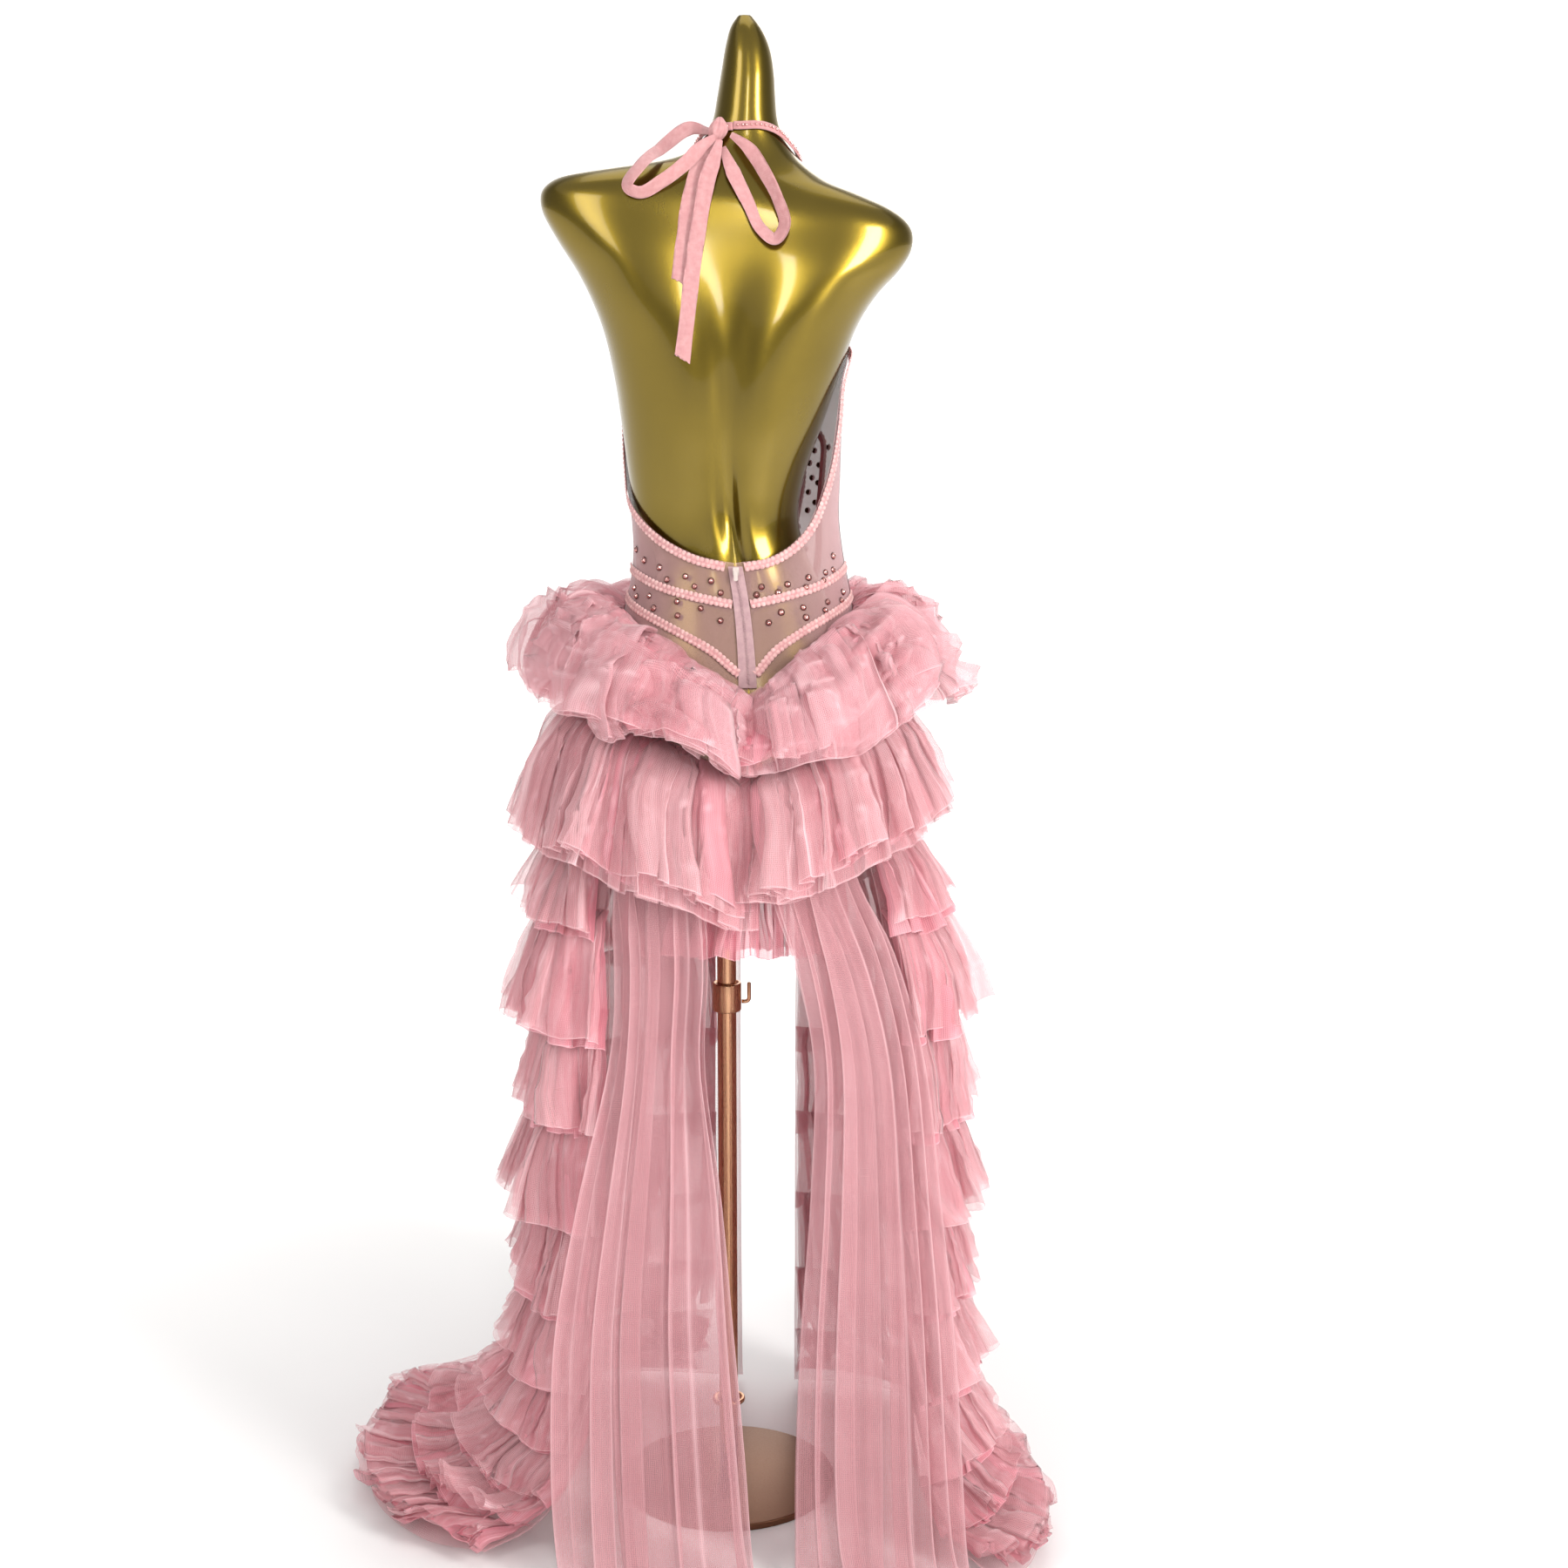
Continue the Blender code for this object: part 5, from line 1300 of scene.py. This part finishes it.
def make_tie_pieces():
    for name, cad, path, samples, turn_width, fray in (
        ("loop_left", "bow_loop_left", LOOP_LEFT_PATH, 110, 0.9, False),
        ("loop_right", "bow_loop_right", LOOP_RIGHT_PATH, 120, 0.9, False),
        ("tail_short", "bow_tail_short", TAIL_SHORT_PATH, 80, 0.0, True),
        ("tail_long", "bow_tail_long", TAIL_LONG_PATH, 120, 0.0, True),
    ):
        rings = ribbon_rings(path, samples, RIBBON_WIDTH, RIBBON_WALL, turn_width, len(name) * 7,
                             fray)
        thing = grid_object(name, rings, MATERIALS["ribbon"], wrap=True)
        place(thing, [cad])
    x, z = KNOT_CENTRE
    y = back_depth(x, z) - KNOT_OFF_FORM
    wide, thick, tall = KNOT_HALF_SIZE
    rings = []
    for up in np.linspace(-1, 1, 33):
        size = 0.16 + 0.84 * (1 - abs(up) ** 1.7) ** 0.8
        turn = np.linspace(0, 2 * math.pi, 60, endpoint=False)
        fold = 1 + 0.13 * np.cos(6 * turn + 1.2 * up) + 0.05 * np.cos(13 * turn - 2 * up)
        rings.append(np.column_stack([
            x - 0.001 + 0.0022 * up + 0.86 * wide * size * fold * np.cos(turn),
            y + thick * size * fold * np.sin(turn), np.full(60, z + 0.003 + 1.32 * tall * up),
        ]))
    joined("knot", [tube(rings)], MATERIALS["ribbon"], ["bow_knot"])
    make_neck_band()


def make_neck_band():
    lengths = np.linspace(0, 1, 150)
    keys = NECK_BAND_PATH[:, 0]
    angles = NECK_BAND_START + (keys[-1] - NECK_BAND_START) * lengths
    heights = smooth(NECK_BAND_PATH, angles)[:, 1]
    none = np.zeros(angles.shape + (4,))
    points = section(heights, angles, none + 0.0026)
    tangent = unit(np.gradient(points, axis=0))
    turn = section(heights, angles + 0.5, none) - section(heights, angles - 0.5, none)
    rise = section(heights + 0.002, angles, none) - section(heights - 0.002, angles, none)
    out = unit(np.cross(turn, rise))
    side = unit(np.cross(out, tangent))
    outline = [(-0.5, 0.0), (-0.46, 0.6), (-0.25, 0.9), (0.0, 1.0), (0.25, 0.9), (0.46, 0.6),
               (0.5, 0.0), (0.0, 0.05)]
    rings = [[p + s * a * 0.0085 + n * h * 0.0018 for a, h in outline]
             for p, s, n in zip(points, side, out)]
    joined("neck_strap", [tube(rings)], MATERIALS["braid"], ["neck_band"])
    length = travelled(points)
    beads = []
    turn = np.linspace(0, 2 * math.pi, 8, endpoint=False)
    for at in np.arange(0.004, length[-1] - 0.004, BEAD_STEP):
        k = int(np.searchsorted(length, at))
        centre = points[k] + out[k] * 0.0024
        ring = [math.cos(a) * side[k] + math.sin(a) * tangent[k] for a in turn]
        bead = [[centre + BEAD_RADIUS * (math.sin(b) * way + math.cos(b) * out[k]) for way in ring]
                for b in np.linspace(0.25, math.pi - 0.25, 6)]
        beads.append(tube(bead))
    joined("neck_beads", beads, MATERIALS["bead"])


# Ruffles


def half_round(share, cross):
    """Angles of a ruffle's left half from the centre back, which it crosses a little."""
    first, last = HALF_START + cross, HALF_END - cross
    return first + (last - first) * share


def seam_round(seam, mirror, share, cross):
    """Points of a hip ruffle's seam, the way out there and the share of its full flare."""
    left_angles = half_round(share, cross)
    read = smooth(seam, left_angles)
    angles = 540.0 - left_angles if mirror else left_angles
    return dress_surface(angles, read[:, 1], RUFFLE_LIFT), outward(angles, read[:, 1]), read[:, 2]


def falling_base(mirror, share, parts, start, reach, fall, cross):
    """The second ruffle before its pleats: the CAD ruffle's own form, finer."""
    seam_points, out, full = seam_round(MID_RUFFLE_SEAM, mirror, share, cross)
    ripple = wave(share, MID_WAVES, start)
    hem = 0.35 * wave(share, MID_WAVES * 0.45, start + 0.3)
    grid = []
    for part in parts:
        _, out_by, drop = smooth(MID_RUFFLE_PROFILE, part)
        off = reach * out_by * full + 0.6 * MID_WAVE_DEPTH * part * ripple
        line = seam_points + out * off[:, None]
        line[:, 2] += -drop * fall + part * (0.6 * MID_WAVE_RISE * ripple + 0.010 * hem)
        grid.append(line)
    return np.array(grid), full


def puffed_base(mirror, share, parts, seed, length, turn, first, cross):
    """The puffed first ruffle before its pleats: out of its seam, round and under, unevenly."""
    seam_points, out, full = seam_round(TOP_RUFFLE_SEAM, mirror, share, cross)
    none = share * 0
    long = length * (0.56 + 0.44 * full) * (1 + 0.13 * blobs(seed, share, none, 9, 1))
    heading = first + math.radians(10.0) * blobs(seed + 1, share, none, 8, 1)
    bend = turn * (1 + 0.22 * blobs(seed + 2, share, none, 10, 1))
    grid = []
    for part in parts:
        now = heading - bend * part
        line = seam_points + out * (long / bend * (np.sin(heading) - np.sin(now)))[:, None]
        line[:, 2] += long / bend * (np.cos(now) - np.cos(heading))
        grid.append(line)
    return np.array(grid), full


# Pleats: how many large, middle and fine ones, how deep they are, how far they lean over at the
# seam and at the hem, how far the hem rises with them and sags, and how far the slanting creases
# across them stand out
TOP_PLEATS = ((14, 34, 80), (0.024, 0.012, 0.0022), (1.7, 1.5), 0.012, 0.010, 0.026)
MID_PLEATS = ((22, 50, 110), (0.019, 0.006, 0.0012), (1.1, 0.8), 0.006, 0.010, 0.006)
SHORT_PLEATS = ((15, 36, 80), (0.013, 0.004, 0.001), (0.8, 0.5), 0.004, 0.0, 0.0)
TIER_PLEATS = ((15, 34, 70), (0.018, 0.006, 0.0012), (1.0, 0.7), 0.003, 0.006, 0.005)

# Layers of the puffed ruffle: name, material, length, how far it turns over, how it starts and
# how many degrees past the centre back it reaches
TOP_LAYERS = (
    ("over", "puff", 0.142, 2.20, 0.50, 3.0), ("mid", "puff", 0.146, 1.90, 0.16, 5.0),
    ("inside", "puff", 0.130, 2.50, 0.40, 4.0), ("under", "inner", 0.114, 1.7, 0.06, 4.0),
)
# Layers of the second ruffle: name, material, share of the solid's reach and of its drop, and
# degrees past the centre back
MID_LAYERS = (
    ("over", "tulle", 0.96, 0.89, 2.0), ("mid", "tulle", 0.88, 0.95, 5.0),
    ("under", "inner", 0.74, 0.90, 4.0),
)


def make_hip_ruffles():
    for side, mirror, start, seed, fullest in (
        ("left", False, 0.45, 40, 1.0), ("right", True, 0.92, 100, MID_RUFFLE_RIGHT_FALL),
    ):
        share, parts = edge_shares(TOP_RUFFLE_GRID[0]), hem_shares(TOP_RUFFLE_GRID[1])
        for layer, material, length, turn, first, cross in TOP_LAYERS:
            seed += 7
            base, full = puffed_base(mirror, share, parts, seed, length, turn, first, cross)
            ruffle_piece(f"top_ruffle_{side}_{layer}", base, share, parts, seed, TOP_PLEATS, full,
                         material, f"hip_ruffle_top_{side}")
        share, parts = edge_shares(MID_RUFFLE_GRID[0]), hem_shares(MID_RUFFLE_GRID[1])
        for layer, material, reach, fall, cross in MID_LAYERS:
            base, full = falling_base(mirror, share, parts, start, reach, fall * fullest, cross)
            seed += 7
            ruffle_piece(f"mid_ruffle_{side}_{layer}", base, share, parts, seed, MID_PLEATS, full,
                         material, f"hip_ruffle_mid_{side}")


def make_short_skirt():
    share, parts = edge_shares(SHORT_SKIRT_GRID[0]), hem_shares(SHORT_SKIRT_GRID[1])
    angles = SHORT_SKIRT_ANGLES[0] + (SHORT_SKIRT_ANGLES[1] - SHORT_SKIRT_ANGLES[0]) * share
    seam_points = dress_surface(angles, SHORT_SKIRT_SEAM, LIFT_ON_PANEL)
    out = outward(angles, np.full_like(angles, SHORT_SKIRT_SEAM))
    ripple = wave(share, 8.0, 0.4)
    for layer, reach, fall, seed in (("over", 1.0, 1.0, 301), ("under", 0.7, 0.94, 317)):
        grid = []
        for part in parts:
            _, out_by, drop = smooth(SHORT_SKIRT_PROFILE, part)
            line = seam_points + out * (reach * out_by + 0.005 * part * ripple)[:, None]
            line[:, 2] -= drop * fall
            grid.append(line)
        ruffle_piece(f"short_skirt_{layer}", np.array(grid), share, parts, seed, SHORT_PLEATS, 1.0,
                     "inner", "short_skirt_back")


def make_train_pieces(side, plan, angles, columns, tiers):
    share = edge_shares(TRAIN_BASE_GRID[0])
    parts = np.linspace(0, 1, TRAIN_BASE_GRID[1])
    train_length = TRAIN_PROFILE[-1, 0]
    base = np.array([train_surface(plan, angles, share, at) for at in parts * train_length])
    u = share[None, :]
    v = parts[:, None]
    base = base + out_normals(base) * (0.0015 * blobs(7, u, v, 9, 12))[..., None]
    # cut edges: closer net, with a painted highlight
    edge = (1 - from_ends(u, 0.012)) * np.ones_like(v)
    sheet_piece(f"train_base_{side}", base, MATERIALS["sheer"], f"train_panel_{side}",
                None, edge)
    share, parts = edge_shares(columns) * TIERS_END[side], hem_shares(TIER_ROWS)
    for number, (start, length, flare, depth, waves, phase) in enumerate(tiers, 1):
        for layer, material, reach in (("over", "tulle", 1.0), ("under", "inner", 0.66)):
            grid = []
            for part in parts:
                distance = start + length * part * (1.04 if layer == "over" else 1.13)
                inside = np.minimum(distance, train_length - 0.001)
                points = train_surface(plan, angles, share, inside)
                normals = train_normals(plan, angles, np.clip(share, 0.01, 0.99), inside)
                off = CLOTH_WALL + SEAM_GAP + reach * flare * part**0.5
                off = off + 0.6 * depth * part * wave(share, waves, phase)
                grid.append(points + normals * np.asarray(off)[:, None])
            seed = 500 + 13 * number + (7 if side == "left" else 0) + (3 if layer == "over" else 0)
            ruffle_piece(f"tier_{side}_{number:02d}_{layer}", np.array(grid), share, parts, seed,
                         TIER_PLEATS, 1.0, material, f"train_{side}_{number:02d}",
                         0.0015 + 0.001 * (layer == "over"))


def make_overlay_pieces(side, angles, table, seed):
    share = edge_shares(OVERLAY_GRID[0])
    parts = np.linspace(0, 1, OVERLAY_GRID[1])
    start, end = angles
    top = dress_surface(start + (end - start) * share, OVERLAY_SEAM, OVERLAY_LIFT)
    coarse = [top]
    for height, near_x, near_y, far_x, far_y in table:
        x = near_x + (far_x - near_x) * share
        y = near_y + (far_y - near_y) * share
        coarse.append(np.column_stack([x, y, np.full(len(share), height)]))
    coarse = np.array(coarse)
    u = share[None, :]
    v = parts[:, None]
    fall = np.clip(v * 6, 0, 1)
    near_end = from_ends(u, 0.03)
    for layer, shift, counts in (("over", 0.004, (5, 9)), ("under", -0.005, (3, 7))):
        grid = finer(coarse, len(parts))
        out = out_normals(grid)
        tangent = np.gradient(grid, axis=1)
        width = np.linalg.norm(tangent, axis=2, keepdims=True).sum(axis=1, keepdims=True)
        tangent = unit(tangent)
        drift = 0.08 * blobs(seed + 2, u, v, 4, 2) * v * near_end
        grid = grid + tangent * drift[..., None] * width
        # cut edges: closer net, with a painted highlight
        edge = (1 - from_ends(u, 0.010)) * np.ones_like(v)
        for k, (count, deep) in enumerate(zip(counts, (0.011, 0.0022))):
            if k == 1:
                soft, _ = loops(u, count, seed + 4, 0.0)
                grid = grid + out * (deep * fall * soft)[..., None]
                continue
            stand, lateral, crease = pleats(u, count, seed, 0.42)
            grid = grid + out * softened((deep * fall * stand).T, 1).T[..., None]
            grid = grid + tangent * (lateral * fall * near_end)[..., None] * width
            # painted highlight along the creases, where the net is also closer
            edge = np.maximum(edge, crease * fall * 0.65)
            # painted shade: darker in the hollows of the pleats, lighter on their crests
            shade = np.clip(0.45 + 0.5 * stand, 0, 1) * np.ones_like(v)
        grid = grid + out * (shift + 0.006 * blobs(seed + 9, u, v, 3, 4) * v)[..., None]
        grid[..., 2] = np.maximum(grid[..., 2], 0.0012)
        sheet_piece(f"long_panel_{side}_{layer}", grid, MATERIALS["sheer"], f"overlay_{side}",
                    shade, edge)
        seed += 21


# Camera, light and floor


def make_stage():
    camera = linked("camera", bpy.data.cameras.new("camera"))
    camera.data.lens = CAMERA_LENS
    camera.data.sensor_width = SENSOR_WIDTH
    camera.location = CAMERA_PLACE
    camera.rotation_euler = (math.radians(90.0 - CAMERA_PITCH), 0.0, 0.0)
    camera.data.clip_end = 60.0
    bpy.context.scene.camera = camera
    for name, place_at, aim, size, size_y, power, colour in LIGHTS:
        lamp = bpy.data.lights.new(name, "AREA")
        lamp.shape = "RECTANGLE"
        lamp.size = size
        lamp.size_y = size_y
        lamp.energy = power
        lamp.color = colour
        thing = linked(name, lamp)
        thing.location = place_at
        thing.rotation_euler = (Vector(aim) - Vector(place_at)).to_track_quat("-Z", "Y").to_euler()
    sun = bpy.data.lights.new("soft_sky", "SUN")
    sun.energy = SKY_POWER
    sun.angle = math.radians(110.0)
    linked("soft_sky", sun).rotation_euler = (math.radians(28.0), 0.0, 0.0)
    mesh = bpy.data.meshes.new("floor")
    corners = [(x * FLOOR_REACH, y * FLOOR_REACH, -0.0004)
               for x, y in ((-1, -1), (1, -1), (1, 1), (-1, 1))]
    mesh.from_pydata(corners, [], [(0, 1, 2, 3)])
    mesh.materials.append(floor_material())
    linked("floor", mesh)
    world = bpy.data.worlds.new("studio")
    bpy.context.scene.world = world
    world.use_nodes = True
    tree = world.node_tree
    where = node(tree, "ShaderNodeTexCoord").outputs["Generated"]
    parts = node(tree, "ShaderNodeSeparateXYZ", Vector=where)
    behind = range_of(tree, parts.outputs["Y"], 0.30, 0.85, WORLD_FRONT, WORLD_BACK)
    above = range_of(tree, parts.outputs["Z"], 0.3, 0.9, 1.0, WORLD_TOP)
    feed(tree, tree.nodes["Background"], Color=WARM_WHITE,
         Strength=reckoned(tree, "MULTIPLY", behind, above))
    bpy.context.scene.view_settings.view_transform = "Standard"
    bpy.context.scene.cycles.transparent_max_bounces = 8


def main():
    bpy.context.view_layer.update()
    make_form_piece()
    make_stand_pieces()
    make_bodice_pieces()
    make_front_braid()
    make_stones()
    make_zip_pieces()
    make_tie_pieces()
    make_hip_ruffles()
    make_short_skirt()
    make_train_pieces("left", TRAIN_LEFT_PLAN, TRAIN_LEFT_ANGLES, TRAIN_LEFT_COLUMNS,
                      TRAIN_LEFT_TIERS)
    make_train_pieces("right", TRAIN_RIGHT_PLAN, TRAIN_RIGHT_ANGLES, TRAIN_RIGHT_COLUMNS,
                      TRAIN_RIGHT_TIERS)
    make_overlay_pieces("left", OVERLAY_LEFT_ANGLES, OVERLAY_LEFT_ROWS, 611)
    make_overlay_pieces("right", OVERLAY_RIGHT_ANGLES, OVERLAY_RIGHT_ROWS, 655)
    show_metal("zip_slider")
    show_metal("zip_pull")
    make_stage()


def show_metal(name):
    """Gives a CAD node of the zip its metal finish."""
    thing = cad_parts[name]
    if not thing.material_slots:
        thing.data.materials.append(MATERIALS["zip"])
    for slot in thing.material_slots:
        slot.link = "OBJECT"
        slot.material = MATERIALS["zip"]


main()
